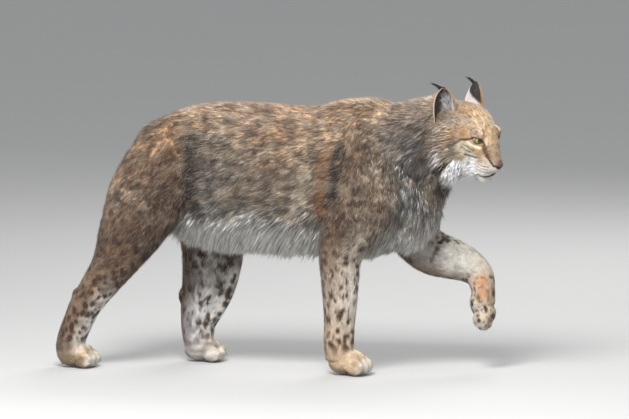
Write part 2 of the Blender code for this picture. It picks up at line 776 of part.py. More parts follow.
def build_lids(head, side, cutters):
    """The rims of the lids, lying on the skin round the slit."""
    tree = skin_tree(head)
    place, aim, long_way, short_way = eye_frame(side)
    points = []
    for a, b in slit_outline(LID_RADIUS * 0.7):
        start = place + long_way * a + short_way * b + aim * 0.05
        hit = tree.ray_cast(start, -aim)[0]
        points.append(hit - aim * (LID_RADIUS * 0.35))
    return tube_through("lids", points, LID_RADIUS, True, cutters)


def build_mouth(head, cutters):
    """The groove of the mouth, from corner to corner round the muzzle."""
    tree = skin_tree(head)
    points = []
    half = catmull_rom(MOUTH, 3)
    for side, rows in ((LEFT, half), (RIGHT, half[::-1])):
        for x, z in rows:
            hit = tree.ray_cast(Vector((x, side * 0.1, z)), Vector((0, -side, 0)))[0]
            if hit is None:
                hit = tree.ray_cast(Vector((0.2, side * 0.002, z)), Vector((-1, 0, 0)))[0]
            points.append(hit)
    return tube_through("mouth", points, MOUTH_RADIUS, False, cutters)


def build_eye(side, nodes):
    """One eyeball."""
    place = mirrored(EYE_PLACE, side)
    bm = bmesh.new()
    aim = Vector((0, 0, 1)).rotation_difference(unit(mirrored(EYE_AIM, side))).to_matrix().to_4x4()
    add_ellipsoid(bm, place, (EYE_RADIUS,) * 3, aim, 16, 9)
    return add_to_scene("eye_left" if side == LEFT else "eye_right", bm, nodes)


def build_nose(nodes, cutters):
    """The bare nose pad with its two nostrils."""
    bm = bmesh.new()
    add_ellipsoid(bm, NOSE_PLACE, NOSE_RADII, Matrix.Identity(4), 14, 9)
    nose = add_to_scene("nose", bm, nodes)
    for side in (LEFT, RIGHT):
        bm = bmesh.new()
        tilt = Matrix.Rotation(side * -0.5, 4, "X")
        add_ellipsoid(bm, mirrored(NOSTRIL_PLACE, side), NOSTRIL_RADII, tilt, 8, 5)
        nostril = add_to_scene("nostril", bm, cutters)
        boolean(nose, nostril, "DIFFERENCE")
        drop(nostril)
    return nose


def build_ear(head, side, nodes, cutters, locks):
    """A cupped ear, open ahead and outwards, with the black tuft at its tip."""
    foot, up = mirrored(EAR_FOOT, side), unit(mirrored(EAR_UP, side))
    opens = Vector(EAR_OPENS[side])
    opens = unit(opens - up * opens.dot(up))
    wide = up.cross(opens)
    bm = bmesh.new()
    grid = []
    for i in range(EAR_ROWS + 1):
        t = i / EAR_ROWS
        half = EAR_HALF_WIDTH * math.sqrt(1.0 - t**3.4) + EAR_TIP
        deep = EAR_DEPTH * (1.0 - t**1.8) + EAR_TIP * 0.6
        curl = math.radians(EAR_CURL * (1.0 - 0.25 * t))
        row = []
        for k in range(EAR_COLUMNS + 1):
            turn = curl * (2.0 * k / EAR_COLUMNS - 1.0)
            place = foot + up * (EAR_HEIGHT * t) + wide * (half * math.sin(turn))
            row.append(bm.verts.new(place - opens * (deep * math.cos(turn) + EAR_LEAN * t * t)))
        grid.append(row)
    for low, high in zip(grid, grid[1:]):
        for k in range(EAR_COLUMNS):
            bm.faces.new((low[k], low[k + 1], high[k + 1], high[k]))
    ear = add_to_scene("ear_left" if side == LEFT else "ear_right", bm, nodes)
    wall = ear.modifiers.new("wall", "SOLIDIFY")
    wall.thickness = EAR_WALL
    wall.offset = 0.0
    fuse_soft(ear, EAR_VOXEL, 2, EAR_TRIANGLES)
    fit_against(ear, head, cutters)
    tip = foot + up * (EAR_HEIGHT - 0.006) - opens * 0.010
    back = unit(Vector((-0.95, side * 0.1, 0.0)))
    for fan, share in ((-0.12, 0.85), (0.0, 1.0), (0.12, 0.9)):
        run = unit(up * 0.16 + back + wide * fan)
        length = TUFT_LENGTH * share + 0.006
        add_lock(tip, run, opens, length, TUFT_WIDTH, TUFT_WIDTH * 0.6, back, 0.18, locks)
    fuse_locks(ear, locks)
    return ear


def build_head(nodes, cutters, locks):
    """The head with its lids, mouth, nose, eyes and ears, all in the head's frame."""
    head = build_skull(nodes)
    point, facing = NAPE
    behind = half_space(Vector(point) + unit(facing) * (GAP / 2), [-c for c in facing], cutters)
    boolean(head, behind, "DIFFERENCE")
    drop(behind)
    pieces = [head]
    for side in (LEFT, RIGHT):
        pieces.append(build_ear(head, side, nodes, cutters, locks))
    mouth = build_mouth(head, cutters)
    boolean(head, mouth, "DIFFERENCE")
    drop(mouth)
    for side in (LEFT, RIGHT):
        lids = build_lids(head, side, cutters)
        boolean(head, lids, "UNION")
        slit = build_slit(side, cutters)
        boolean(head, slit, "DIFFERENCE")
        eye = build_eye(side, nodes)
        socket = swollen(eye, GAP, cutters)
        boolean(head, socket, "DIFFERENCE")
        for tool in (lids, slit, socket):
            drop(tool)
        pieces.append(eye)
    nose = build_nose(nodes, cutters)
    seat = swollen(nose, GAP, cutters)
    boolean(head, seat, "DIFFERENCE")
    drop(seat)
    pieces.append(nose)
    keep_largest(head)
    frame = bpy.data.objects.new("head_frame", None)
    nodes.objects.link(frame)
    frame.matrix_world = head_matrix()
    for piece in pieces:
        piece.parent = frame
    return head


def clear_for_head(torso, head, cutters):
    """Ends the neck at the nape and cuts it clear of the head all round."""
    bpy.context.view_layer.update()
    frame = head.matrix_world
    point, facing = NAPE
    ahead = half_space(Vector(point) - unit(facing) * (GAP * 0.7), facing, cutters, HEAD_BLOCK)
    ahead.matrix_world = frame
    shell = swollen(head, GAP * 1.3, cutters)
    for block in (ahead, shell):
        boolean(torso, block, "DIFFERENCE")
        drop(block)
    keep_largest(torso)


def build_tail(hosts, nodes, cutters):
    """The short hanging tail, cut clear of what it hangs from."""
    bm = bmesh.new()
    add_tube(bm, TAIL, sides=12, steps=2)
    tail = add_to_scene("tail", bm, nodes)
    for host in hosts:
        fit_against(tail, host, cutters)
    return tail


def paint(nodes):
    """Gives every node a material of its own."""
    for obj in nodes.objects:
        if obj.type != "MESH":
            continue
        kind = next(word for word in COLOURS if word in obj.name)
        obj.data.materials.clear()
        obj.data.materials.append(new_material(obj.name, *COLOURS[kind]))
        obj.data.shade_smooth()
        obj.data.set_sharp_from_angle(angle=math.radians(50))


def set_on_origin(nodes):
    """Moves the animal so that the middle of its box's base is the origin."""
    bpy.context.view_layer.update()
    solids = [obj for obj in nodes.objects if obj.type == "MESH"]
    points = [obj.matrix_world @ vertex.co for obj in solids for vertex in obj.data.vertices]
    low, high = np.min(points, axis=0), np.max(points, axis=0)
    shift = Matrix.Translation((-(low[0] + high[0]) / 2, -(low[1] + high[1]) / 2, -low[2]))
    for obj in nodes.objects:
        if obj.parent is None:
            obj.matrix_world = shift @ obj.matrix_world


def main():
    clear_scene()
    nodes = new_collection("lynx")
    cutters = new_collection("cutters", hidden=True)
    locks = new_collection("locks", hidden=True)
    chance = random.Random(SEED)
    torso = build_body(nodes, cutters)
    add_breast_locks(torso, locks, chance)
    add_belly_locks(locks, chance)
    fuse_locks(torso, locks)
    head = build_head(nodes, cutters, locks)
    clear_for_head(torso, head, cutters)
    add_ruff(head, locks, chance)
    fuse_locks(head, locks, head.parent)
    fit_against(head, torso, cutters)
    legs = {
        "foreleg_right": (FORELEG_RIGHT, ELBOW_RIGHT, WRIST_RIGHT, PAW_FORE_RIGHT),
        "foreleg_left": (FORELEG_LEFT, ELBOW_LEFT, WRIST_LEFT, PAW_FORE_LEFT),
        "hindleg_right": (HINDLEG_RIGHT, KNEE_RIGHT, HOCK_RIGHT, PAW_HIND_RIGHT),
        "hindleg_left": (HINDLEG_LEFT, KNEE_LEFT, HOCK_LEFT, PAW_HIND_LEFT),
    }
    for name, (rows, upper_joint, lower_joint, paw) in legs.items():
        lower = take_limb(torso, rows, name + "_lower", nodes, cutters)
        part_in_two(lower, *upper_joint, name + "_upper", cutters)
        point, facing = lower_joint
        below = half_space(Vector(point) + unit(facing) * (GAP / 2), [-c for c in facing], cutters)
        boolean(lower, below, "DIFFERENCE")
        drop(below)
        keep_largest(lower)
        build_paw(name.replace("leg", "paw"), rows, paw, lower_joint, nodes, cutters)
    part_in_two(torso, *NECK_BASE, "neck", cutters)
    hosts = [torso, *[obj for obj in nodes.objects if obj.name.startswith("hindleg")]]
    build_tail(hosts, nodes, cutters)
    paint(nodes)
    set_on_origin(nodes)


if __name__ == "__main__":
    main()
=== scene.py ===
"""The looks of a walking Eurasian lynx: one skin, a coat of solid tufts, ears, eyes, nose and whiskers.

Everything is worked out in the animal's own frame, +X towards the nose, +Y to its left and +Z up in metres,
with the right forepaw near x = 0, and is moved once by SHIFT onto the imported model.
"""

import math

import bmesh
import bpy
import numpy as np
from bpy.props import FloatProperty, FloatVectorProperty, IntProperty, PointerProperty
from mathutils import Matrix, Vector


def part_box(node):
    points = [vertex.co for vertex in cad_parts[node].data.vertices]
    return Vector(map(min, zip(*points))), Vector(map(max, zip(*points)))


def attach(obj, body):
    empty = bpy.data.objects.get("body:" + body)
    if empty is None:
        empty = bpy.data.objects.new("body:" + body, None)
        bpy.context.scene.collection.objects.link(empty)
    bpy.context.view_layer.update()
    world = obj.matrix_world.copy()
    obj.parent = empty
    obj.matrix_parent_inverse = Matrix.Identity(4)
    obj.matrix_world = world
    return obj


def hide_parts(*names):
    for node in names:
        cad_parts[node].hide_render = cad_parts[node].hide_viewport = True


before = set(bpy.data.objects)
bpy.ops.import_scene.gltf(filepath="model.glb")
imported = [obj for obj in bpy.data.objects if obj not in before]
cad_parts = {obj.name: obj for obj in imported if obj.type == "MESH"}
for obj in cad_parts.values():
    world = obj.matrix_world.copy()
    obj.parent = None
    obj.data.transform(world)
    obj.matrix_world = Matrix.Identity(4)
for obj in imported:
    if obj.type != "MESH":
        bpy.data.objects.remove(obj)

bl_info = {
    "name": "Walking Lynx",
    "version": (1, 0, 0),
    "blender": (4, 5, 0),
    "location": "3D View > Sidebar > Lynx",
    "description": "Builds the skin, coat, ears, eyes and nose of a life-size lynx and its studio",
    "category": "Add Mesh",
}

LEFT, RIGHT = 1.0, -1.0
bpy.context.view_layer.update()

# Trunk sections: x, top z, bottom z, half width, depth of the coat.
TRUNK = (
    (-0.530, 0.560, 0.450, 0.035, 0.010),
    (-0.505, 0.592, 0.395, 0.075, 0.016),
    (-0.460, 0.620, 0.345, 0.100, 0.018),
    (-0.380, 0.648, 0.300, 0.112, 0.018),
    (-0.290, 0.659, 0.281, 0.117, 0.018),
    (-0.190, 0.657, 0.276, 0.122, 0.018),
    (-0.090, 0.653, 0.275, 0.122, 0.018),
    (-0.010, 0.668, 0.272, 0.117, 0.018),
    (0.050, 0.676, 0.270, 0.112, 0.018),
    (0.110, 0.668, 0.280, 0.104, 0.020),
    (0.160, 0.640, 0.315, 0.088, 0.022),
    (0.190, 0.560, 0.385, 0.050, 0.022),
)
BELLY_HANG = 0.016
COAT_DEPTH, COAT_LENGTH = 0.50, 0.70
# Neck and limb sections: x, y, z, half width, half depth, coat depth, length of the hair.
NECK = (
    (0.010, 0.000, 0.520, 0.095, 0.120, 0.022, 0.034),
    (0.080, 0.000, 0.540, 0.097, 0.128, 0.022, 0.036),
    (0.140, -0.001, 0.555, 0.092, 0.116, 0.022, 0.040),
    (0.192, -0.003, 0.577, 0.084, 0.096, 0.020, 0.040),
    (0.245, -0.013, 0.596, 0.081, 0.087, 0.018, 0.036),
    (0.300, -0.041, 0.596, 0.077, 0.082, 0.024, 0.030),
)
FORELEG_RIGHT = (
    (0.035, -0.040, 0.610, 0.024, 0.045, 0.010, 0.026),
    (0.068, -0.076, 0.515, 0.043, 0.078, 0.014, 0.026),
    (0.075, -0.092, 0.430, 0.050, 0.084, 0.014, 0.026),
    (0.040, -0.100, 0.365, 0.050, 0.074, 0.013, 0.024),
    (0.013, -0.100, 0.300, 0.048, 0.060, 0.011, 0.020),
    (0.009, -0.096, 0.240, 0.045, 0.052, 0.010, 0.017),
    (0.008, -0.091, 0.180, 0.042, 0.047, 0.009, 0.014),
    (0.005, -0.086, 0.125, 0.040, 0.042, 0.008, 0.012),
    (0.003, -0.083, 0.080, 0.041, 0.041, 0.007, 0.011),
    (0.006, -0.081, 0.040, 0.040, 0.040, 0.006, 0.010),
)
FORELEG_LEFT = (
    (0.070, 0.040, 0.610, 0.024, 0.045, 0.010, 0.026),
    (0.118, 0.076, 0.515, 0.043, 0.078, 0.014, 0.026),
    (0.142, 0.090, 0.430, 0.050, 0.082, 0.016, 0.036),
    (0.142, 0.097, 0.365, 0.049, 0.074, 0.015, 0.032),
    (0.155, 0.100, 0.315, 0.047, 0.066, 0.012, 0.022),
    (0.192, 0.100, 0.286, 0.045, 0.061, 0.010, 0.018),
    (0.238, 0.100, 0.272, 0.042, 0.055, 0.009, 0.015),
    (0.280, 0.098, 0.257, 0.039, 0.047, 0.008, 0.013),
    (0.310, 0.096, 0.234, 0.037, 0.039, 0.007, 0.012),
    (0.320, 0.095, 0.200, 0.037, 0.033, 0.007, 0.011),
    (0.322, 0.094, 0.165, 0.038, 0.031, 0.006, 0.010),
)
HINDLEG_RIGHT = (
    (-0.425, -0.036, 0.575, 0.028, 0.055, 0.010, 0.026),
    (-0.445, -0.076, 0.508, 0.052, 0.094, 0.015, 0.028),
    (-0.478, -0.098, 0.425, 0.060, 0.104, 0.016, 0.030),
    (-0.503, -0.104, 0.370, 0.058, 0.094, 0.015, 0.028),
    (-0.532, -0.107, 0.312, 0.053, 0.078, 0.013, 0.024),
    (-0.565, -0.107, 0.252, 0.047, 0.058, 0.011, 0.019),
    (-0.602, -0.105, 0.200, 0.042, 0.048, 0.009, 0.015),
    (-0.634, -0.102, 0.155, 0.038, 0.043, 0.008, 0.013),
    (-0.655, -0.100, 0.110, 0.037, 0.040, 0.007, 0.012),
    (-0.672, -0.098, 0.068, 0.038, 0.039, 0.007, 0.011),
    (-0.676, -0.096, 0.040, 0.037, 0.037, 0.006, 0.010),
    (-0.670, -0.096, 0.018, 0.030, 0.031, 0.005, 0.009),
)
HINDLEG_LEFT = (
    (-0.420, 0.036, 0.575, 0.028, 0.055, 0.010, 0.026),
    (-0.418, 0.076, 0.508, 0.052, 0.096, 0.015, 0.028),
    (-0.402, 0.098, 0.425, 0.060, 0.104, 0.016, 0.030),
    (-0.384, 0.104, 0.365, 0.057, 0.096, 0.015, 0.028),
    (-0.370, 0.107, 0.305, 0.052, 0.088, 0.013, 0.024),
    (-0.371, 0.107, 0.245, 0.046, 0.081, 0.011, 0.019),
    (-0.379, 0.105, 0.190, 0.042, 0.073, 0.009, 0.015),
    (-0.393, 0.103, 0.140, 0.039, 0.062, 0.008, 0.013),
    (-0.404, 0.101, 0.095, 0.038, 0.048, 0.007, 0.012),
    (-0.404, 0.100, 0.055, 0.038, 0.041, 0.006, 0.010),
    (-0.400, 0.100, 0.022, 0.032, 0.034, 0.005, 0.009),
)
TAIL = (
    (-0.470, 0.000, 0.570, 0.034, 0.030, 0.010, 0.026),
    (-0.505, 0.006, 0.545, 0.031, 0.029, 0.010, 0.026),
    (-0.530, 0.012, 0.500, 0.029, 0.029, 0.012, 0.028),
    (-0.541, 0.017, 0.450, 0.030, 0.030, 0.013, 0.030),
    (-0.547, 0.020, 0.405, 0.030, 0.030, 0.014, 0.030),
    (-0.550, 0.021, 0.385, 0.020, 0.020, 0.012, 0.026),
)
# Rounded masses: centre, radii, coat depth.
BODY_MASSES = (
    ((0.020, -0.042, 0.618), (0.088, 0.034, 0.055), 0.012),
    ((0.045, 0.042, 0.612), (0.088, 0.034, 0.053), 0.012),
    ((-0.650, -0.102, 0.172), (0.022, 0.022, 0.030), 0.006),
    ((-0.436, 0.104, 0.160), (0.022, 0.022, 0.030), 0.006),
    ((0.150, 0.010, 0.420), (0.090, 0.090, 0.125), 0.024),
    ((0.190, 0.010, 0.490), (0.072, 0.070, 0.110), 0.024),
)
# Paws: middle of the sole, turn, pitch, size.
PAWS = {
    "foreleg_right": ((0.020, -0.080, 0.0), -3.0, 0.0, 1.00),
    "foreleg_left": ((0.290, 0.094, 0.150), 2.0, 72.0, 0.94),
    "hindleg_right": ((-0.664, -0.095, 0.0), -4.0, 0.0, 0.97),
    "hindleg_left": ((-0.396, 0.100, 0.0), 4.0, 0.0, 0.97),
}
PALM = (
    ((-0.004, 0.0, 0.032), (0.044, 0.041, 0.034)),
    ((0.018, 0.0, 0.036), (0.034, 0.043, 0.028)),
)
TOE_RADII = (0.027, 0.0125, 0.0235)
TOE_REACH, TOE_ARC, TOE_PITCH, TOE_HEIGHT, TOE_SPLAY = 0.032, 0.011, 0.0225, 0.0235, 0.11
PAW_COAT = 0.0035
SOLE = 0.0015
SKIN_TRIANGLES = 130000
UNDER_SHADE = 0.62

# The head in its own frame: x towards the nose from the ears, z up.
HEAD_PLACE = (0.301, -0.041, 0.592)
HEAD_TURN, HEAD_NOD, HEAD_ROLL = -28.0, 15.0, 4.0
# Skull sections: x, top z, bottom z, half width, coat depth.
SKULL = (
    (-0.090, 0.062, -0.066, 0.056, 0.018),
    (-0.060, 0.074, -0.074, 0.066, 0.014),
    (-0.030, 0.083, -0.078, 0.071, 0.010),
    (0.000, 0.087, -0.078, 0.071, 0.008),
    (0.030, 0.087, -0.079, 0.067, 0.006),
    (0.055, 0.079, -0.080, 0.058, 0.005),
    (0.076, 0.063, -0.080, 0.047, 0.0035),
    (0.092, 0.043, -0.079, 0.038, 0.0025),
    (0.104, 0.020, -0.077, 0.032, 0.0020),
    (0.114, 0.003, -0.068, 0.027, 0.0018),
    (0.124, -0.011, -0.058, 0.022, 0.0016),
    (0.133, -0.020, -0.050, 0.014, 0.0015),
)
FACE_MASSES = (
    ((0.092, 0.000, -0.078), (0.022, 0.021, 0.0150), 0.0022),
    ((0.101, 0.0175, -0.050), (0.022, 0.0195, 0.021), 0.0016),
    ((0.036, 0.038, -0.018), (0.046, 0.036, 0.050), 0.0050),
    ((0.074, 0.027, 0.030), (0.021, 0.021, 0.0165), 0.0022),
    ((0.008, 0.040, -0.040), (0.050, 0.036, 0.052), 0.0100),
)
EYE_RADIUS = 0.0125
EYE_PLACE = (0.0775, 0.0320, 0.0185)
EYE_AIM = (0.82, 0.57, 0.06)
EYE_GAZE = (0.93, 0.37, 0.02)
SLIT_WIDTH, SLIT_HEIGHT, SLIT_SLANT = 0.0262, 0.0128, 15.0
NOSE_PLACE = (0.1285, 0.0, -0.0355)
NOSE_RADII = (0.0105, 0.0155, 0.0106)
MOUTH = ((0.072, -0.0640), (0.086, -0.0705), (0.1023, -0.0720), (0.1101, -0.0694), (0.1198, -0.0597))
EAR_FOOT = (-0.018, 0.050, 0.046)
EAR_UP = (-0.12, 0.19, 0.97)
EAR_OPENS = {LEFT: (0.12, 1.00, 0.0), RIGHT: (0.62, -0.78, 0.0)}
EAR_HEIGHT, EAR_HALF_WIDTH, EAR_DEPTH = 0.071, 0.0245, 0.0230
EAR_TIP, EAR_WALL, EAR_CURL, EAR_LEAN = 0.0025, 0.0022, 105.0, 0.008
EAR_TAPER = 3.0
EAR_TUFT = 0.046


def srgb(r, g, b):
    """A colour as 0 to 255 sRGB, made linear."""
    c = np.array((r, g, b), float) / 255.0
    return np.where(c <= 0.04045, c / 12.92, ((c + 0.055) / 1.055) ** 2.4)


# Numbers, noise and surfaces.


def unit(rows):
    """Each row at length one."""
    rows = np.asarray(rows, float)
    return rows / np.maximum(np.linalg.norm(rows, axis=-1, keepdims=True), 1e-9)


def step_between(low, high, value):
    """Zero below low, one above high, and 3t^2 - 2t^3 between."""
    t = np.clip((value - low) / (high - low), 0.0, 1.0)
    return t * t * (3.0 - 2.0 * t)


def catmull_rom(rows, steps):
    """Points on the smooth curve through the rows: each span is the usual cubic of its four nearest rows."""
    rows = np.asarray(rows, float)
    padded = np.vstack([2 * rows[0] - rows[1], rows, 2 * rows[-1] - rows[-2]])
    a, b, c, d = (padded[k : k + len(rows) - 1, None] for k in range(4))
    t = (np.arange(steps) / steps)[None, :, None]
    spans = 0.5 * (2 * b + (c - a) * t + (2 * a - 5 * b + 4 * c - d) * t**2 + (3 * b - a - 3 * c + d) * t**3)
    return np.vstack([spans.reshape(-1, rows.shape[1]), rows[-1:]])


def hashed(cells, salt):
    """A number from 0 to 1 for each whole-numbered cell, the same each time."""
    x, y, z = (cells[..., k].astype(np.int64) for k in range(3))
    h = (x * 73856093) ^ (y * 19349663) ^ (z * 83492791) ^ (salt * 2654435761)
    h = (h ^ (h >> 13)) * 1274126177
    h = (h ^ (h >> 16)) & 0xFFFFFF
    return h / float(0x1000000)


def smooth_noise(points, size, salt=0):
    """Value noise from 0 to 1: the eight corners of each cell, blended by the eased place in the cell."""
    scaled = points / size
    cell = np.floor(scaled).astype(np.int64)
    part = scaled - cell
    part = part * part * (3.0 - 2.0 * part)
    total = np.zeros(len(points))
    for corner in np.ndindex(2, 2, 2):
        corner = np.array(corner)
        share = np.prod(np.where(corner, part, 1.0 - part), axis=1)
        total += share * hashed(cell + corner, salt)
    return total


def spots(points, size, radius, keep, salt=0):
    """Dark spots: one jittered centre in each cell of a grid, one inside its own radius and none outside."""
    scaled = points / size
    cell = np.floor(scaled).astype(np.int64)
    best = np.zeros(len(points))
    for corner in np.ndindex(3, 3, 3):
        near = cell + np.array(corner) - 1
        centre = near + np.stack([hashed(near, salt + k) for k in (1, 2, 3)], axis=1)
        reach = radius * (0.55 + 0.75 * hashed(near, salt + 4))
        away = np.linalg.norm(scaled - centre, axis=1) * size
        shown = hashed(near, salt + 5) < keep
        best = np.maximum(best, shown * (1.0 - step_between(0.62, 1.15, away / reach)))
    return best


def tube_points(rows, sides, along=None):
    """A ring of points round each row: its centre plus side * wide * cos and across * deep * sin."""
    rows = np.asarray(rows, float)
    run = np.gradient(rows[:, :3], axis=0) if along is None else np.tile(along, (len(rows), 1))
    run = unit(run)
    side = unit(np.array((0.0, 1.0, 0.0)) - run * run[:, 1:2])
    across = np.cross(run, side)
    turn = np.linspace(0.0, math.tau, sides, endpoint=False)
    wide = side[:, None] * (rows[:, 3, None, None] * np.cos(turn)[None, :, None])
    deep = across[:, None] * (rows[:, 4, None, None] * np.sin(turn)[None, :, None])
    return rows[:, None, :3] + wide + deep


def closed_grid(points):
    """Vertices and triangles of a grid of rings that is closed round and capped at both ends."""
    rows, sides = points.shape[:2]
    index = np.arange(rows * sides).reshape(rows, sides)
    a, b = index[:-1], np.roll(index, -1, axis=1)[:-1]
    c, d = np.roll(index, -1, axis=1)[1:], index[1:]
    walls = np.concatenate([np.stack([a, b, c], -1).reshape(-1, 3), np.stack([a, c, d], -1).reshape(-1, 3)])
    first, last = rows * sides, rows * sides + 1
    nxt = np.roll(index, -1, axis=1)
    start = np.stack([nxt[0], index[0], np.full(sides, first)], -1)
    end = np.stack([index[-1], nxt[-1], np.full(sides, last)], -1)
    verts = np.vstack([points.reshape(-1, 3), points[0].mean(0), points[-1].mean(0)])
    return verts, np.concatenate([walls, start, end])


def ellipsoid(centre, radii, turn=None, segments=20, rings=12):
    """A closed ellipsoid: centre plus turn times radii times the unit sphere's sine and cosine grid."""
    rise = np.linspace(0.06, math.pi - 0.06, rings)[:, None]
    round_ = np.linspace(0.0, math.tau, segments, endpoint=False)[None]
    ball = np.stack([np.sin(rise) * np.cos(round_), np.sin(rise) * np.sin(round_), np.cos(rise) + 0 * round_], -1)
    ball = ball * np.asarray(radii)
    if turn is not None:
        ball = ball @ np.array(turn).T
    return closed_grid(ball + np.asarray(centre))


def joined(shapes):
    """Several shapes of vertices and triangles as one."""
    verts, faces, start = [], [], 0
    for v, f in shapes:
        verts.append(v)
        faces.append(f + start)
        start += len(v)
    return np.vstack(verts), np.vstack(faces)


def make_object(name, verts, faces, smooth=True):
    """A mesh object of the arrays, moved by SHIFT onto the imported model."""
    mesh = bpy.data.meshes.new(name)
    count, sides = faces.shape
    mesh.vertices.add(len(verts))
    mesh.vertices.foreach_set("co", (verts + SHIFT).astype(np.float32).ravel())
    mesh.loops.add(count * sides)
    mesh.loops.foreach_set("vertex_index", faces.astype(np.int32).ravel())
    mesh.polygons.add(count)
    mesh.polygons.foreach_set("loop_start", np.arange(0, count * sides, sides, dtype=np.int32))
    mesh.polygons.foreach_set("use_smooth", np.full(count, smooth))
    mesh.update(calc_edges=True)
    mesh.validate()
    obj = bpy.data.objects.new(name, mesh)
    bpy.context.scene.collection.objects.link(obj)
    return obj


def apply_modifiers(obj):
    """Makes the evaluated mesh the object's own."""
    bpy.context.view_layer.update()
    graph = bpy.context.evaluated_depsgraph_get()
    made = bpy.data.meshes.new_from_object(obj.evaluated_get(graph))
    old = obj.data
    obj.modifiers.clear()
    obj.data = made
    bpy.data.meshes.remove(old)


def fuse_soft(obj, voxel, smoothing):
    """Fuses overlapping closed shapes into one smooth skin."""
    remesh = obj.modifiers.new("fuse", "REMESH")
    remesh.mode = "VOXEL"
    remesh.voxel_size = voxel
    remesh.use_smooth_shade = True
    soften = obj.modifiers.new("soften", "SMOOTH")
    soften.factor = 0.5
    soften.iterations = smoothing
    apply_modifiers(obj)


def mesh_arrays(obj):
    """Vertices in the animal's frame, triangles and vertex normals of a mesh."""
    mesh = obj.data
    mesh.calc_loop_triangles()
    verts = np.empty(len(mesh.vertices) * 3, np.float32)
    mesh.vertices.foreach_get("co", verts)
    tris = np.empty(len(mesh.loop_triangles) * 3, np.int32)
    mesh.loop_triangles.foreach_get("vertices", tris)
    normals = np.empty(len(mesh.vertices) * 3, np.float32)
    mesh.vertex_normals.foreach_get("vector", normals)
    return verts.reshape(-1, 3).astype(float) - SHIFT, tris.reshape(-1, 3), normals.reshape(-1, 3).astype(float)


def paint_points(obj, name, colours):
    """Stores a colour for each vertex."""
    layer = obj.data.color_attributes.new(name, "FLOAT_COLOR", "POINT")
    full = np.ones((len(colours), 4), np.float32)
    full[:, :3] = colours
    layer.data.foreach_set("color", full.ravel())


# Frames.


def head_matrix():
    """Where the head's own frame stands in the animal's."""
    turn = Matrix.Rotation(math.radians(HEAD_TURN), 4, "Z") @ Matrix.Rotation(math.radians(HEAD_NOD), 4, "Y")
    return Matrix.Translation(HEAD_PLACE) @ turn @ Matrix.Rotation(math.radians(HEAD_ROLL), 4, "X")


HEAD = np.array(head_matrix())


def from_head(points):
    """Points of the head's frame in the animal's."""
    return np.asarray(points, float) @ HEAD[:3, :3].T + HEAD[:3, 3]


def to_head(points):
    """Points of the animal's frame in the head's."""
    return (np.asarray(points, float) - HEAD[:3, 3]) @ HEAD[:3, :3]


def mirrored(vector, side):
    """The vector on the left, or its mirror on the right."""
    return np.array((vector[0], vector[1] * side, vector[2]), float)


def find_shift():
    """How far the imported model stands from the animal's own frame: its right eye is in both."""
    low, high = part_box("eye_right")
    return np.array((low + high) / 2) - from_head(mirrored(EYE_PLACE, RIGHT))


SHIFT = find_shift()


# The skin.


def limb_shape(rows, sides=20):
    """A limb's tube with its coat's depth taken off its radii."""
    rows = catmull_rom(rows, 4)
    slim = rows[:, :5].copy()
    slim[:, 3:5] -= rows[:, 5:6] * COAT_DEPTH
    return closed_grid(tube_points(slim, sides))


def section_shape(rows, sides, hang=0.0, depth=1.0):
    """A tube along X from rows of x, top, bottom, half width and coat depth, which is taken off."""
    x, top, low, wide, coat = catmull_rom(rows, 4).T
    low = low + hang
    coat = coat * depth
    tube = np.stack([x, 0 * x, (top + low) / 2, wide - coat, (top - low) / 2 - coat], axis=1)
    return closed_grid(tube_points(tube, sides, along=(1.0, 0.0, 0.0)))


def paw_shapes(place, turn, pitch, size):
    """A palm and four toes, less the paw's coat."""
    spin = Matrix.Rotation(math.radians(turn), 4, "Z") @ Matrix.Rotation(math.radians(pitch), 4, "Y")
    whole = np.array(Matrix.Translation(place) @ spin @ Matrix.Scale(size, 4))
    shapes = []
    for centre, radii in PALM:
        at = whole[:3, :3] @ np.array(centre) + whole[:3, 3]
        shapes.append(ellipsoid(at, np.array(radii) * size - PAW_COAT, np.array(spin)[:3, :3]))
    for step in (-1.5, -0.5, 0.5, 1.5):
        middle = 1.0 - abs(step) / 1.5
        centre = np.array((TOE_REACH + TOE_ARC * middle, step * TOE_PITCH, TOE_HEIGHT))
        at = whole[:3, :3] @ centre + whole[:3, 3]
        splay = spin @ Matrix.Rotation(step * TOE_SPLAY, 4, "Z")
        shapes.append(ellipsoid(at, np.array(TOE_RADII) * size - PAW_COAT * 0.7, np.array(splay)[:3, :3]))
    return shapes


def build_body_skin():
    """Trunk, neck, tail, legs and paws as one closed skin, fine at the toes and plainer where it is flat."""
    shapes = [section_shape(TRUNK, 28, BELLY_HANG, COAT_DEPTH)]
    shapes += [limb_shape(rows) for rows in (NECK, TAIL, FORELEG_RIGHT, FORELEG_LEFT, HINDLEG_RIGHT, HINDLEG_LEFT)]
    shapes += [ellipsoid(centre, np.array(radii) - coat * COAT_DEPTH) for centre, radii, coat in BODY_MASSES]
    for paw in PAWS.values():
        shapes += paw_shapes(*paw)
    skin = make_object("skin", *joined(shapes))
    fuse_soft(skin, 0.0032, 5)
    thin = skin.modifiers.new("thin", "DECIMATE")
    thin.ratio = SKIN_TRIANGLES / (2.0 * len(skin.data.polygons))
    apply_modifiers(skin)
    flat = np.empty(len(skin.data.vertices) * 3, np.float32)
    skin.data.vertices.foreach_get("co", flat)
    flat = flat.reshape(-1, 3)
    flat[:, 2] = np.maximum(flat[:, 2], SHIFT[2] + SOLE)
    skin.data.vertices.foreach_set("co", flat.ravel())
    return skin


def build_head_skin():
    """The skull with the face's masses, less the coat, in the animal's frame."""
    shapes = [section_shape(SKULL, 32)]
    for centre, radii, coat in FACE_MASSES:
        for side in (LEFT, RIGHT):
            shapes.append(ellipsoid(mirrored(centre, side), np.array(radii) - coat, segments=24, rings=16))
    verts, faces = joined(shapes)
    skin = make_object("skin_head", from_head(verts), faces)
    fuse_soft(skin, 0.0026, 6)
    return skin


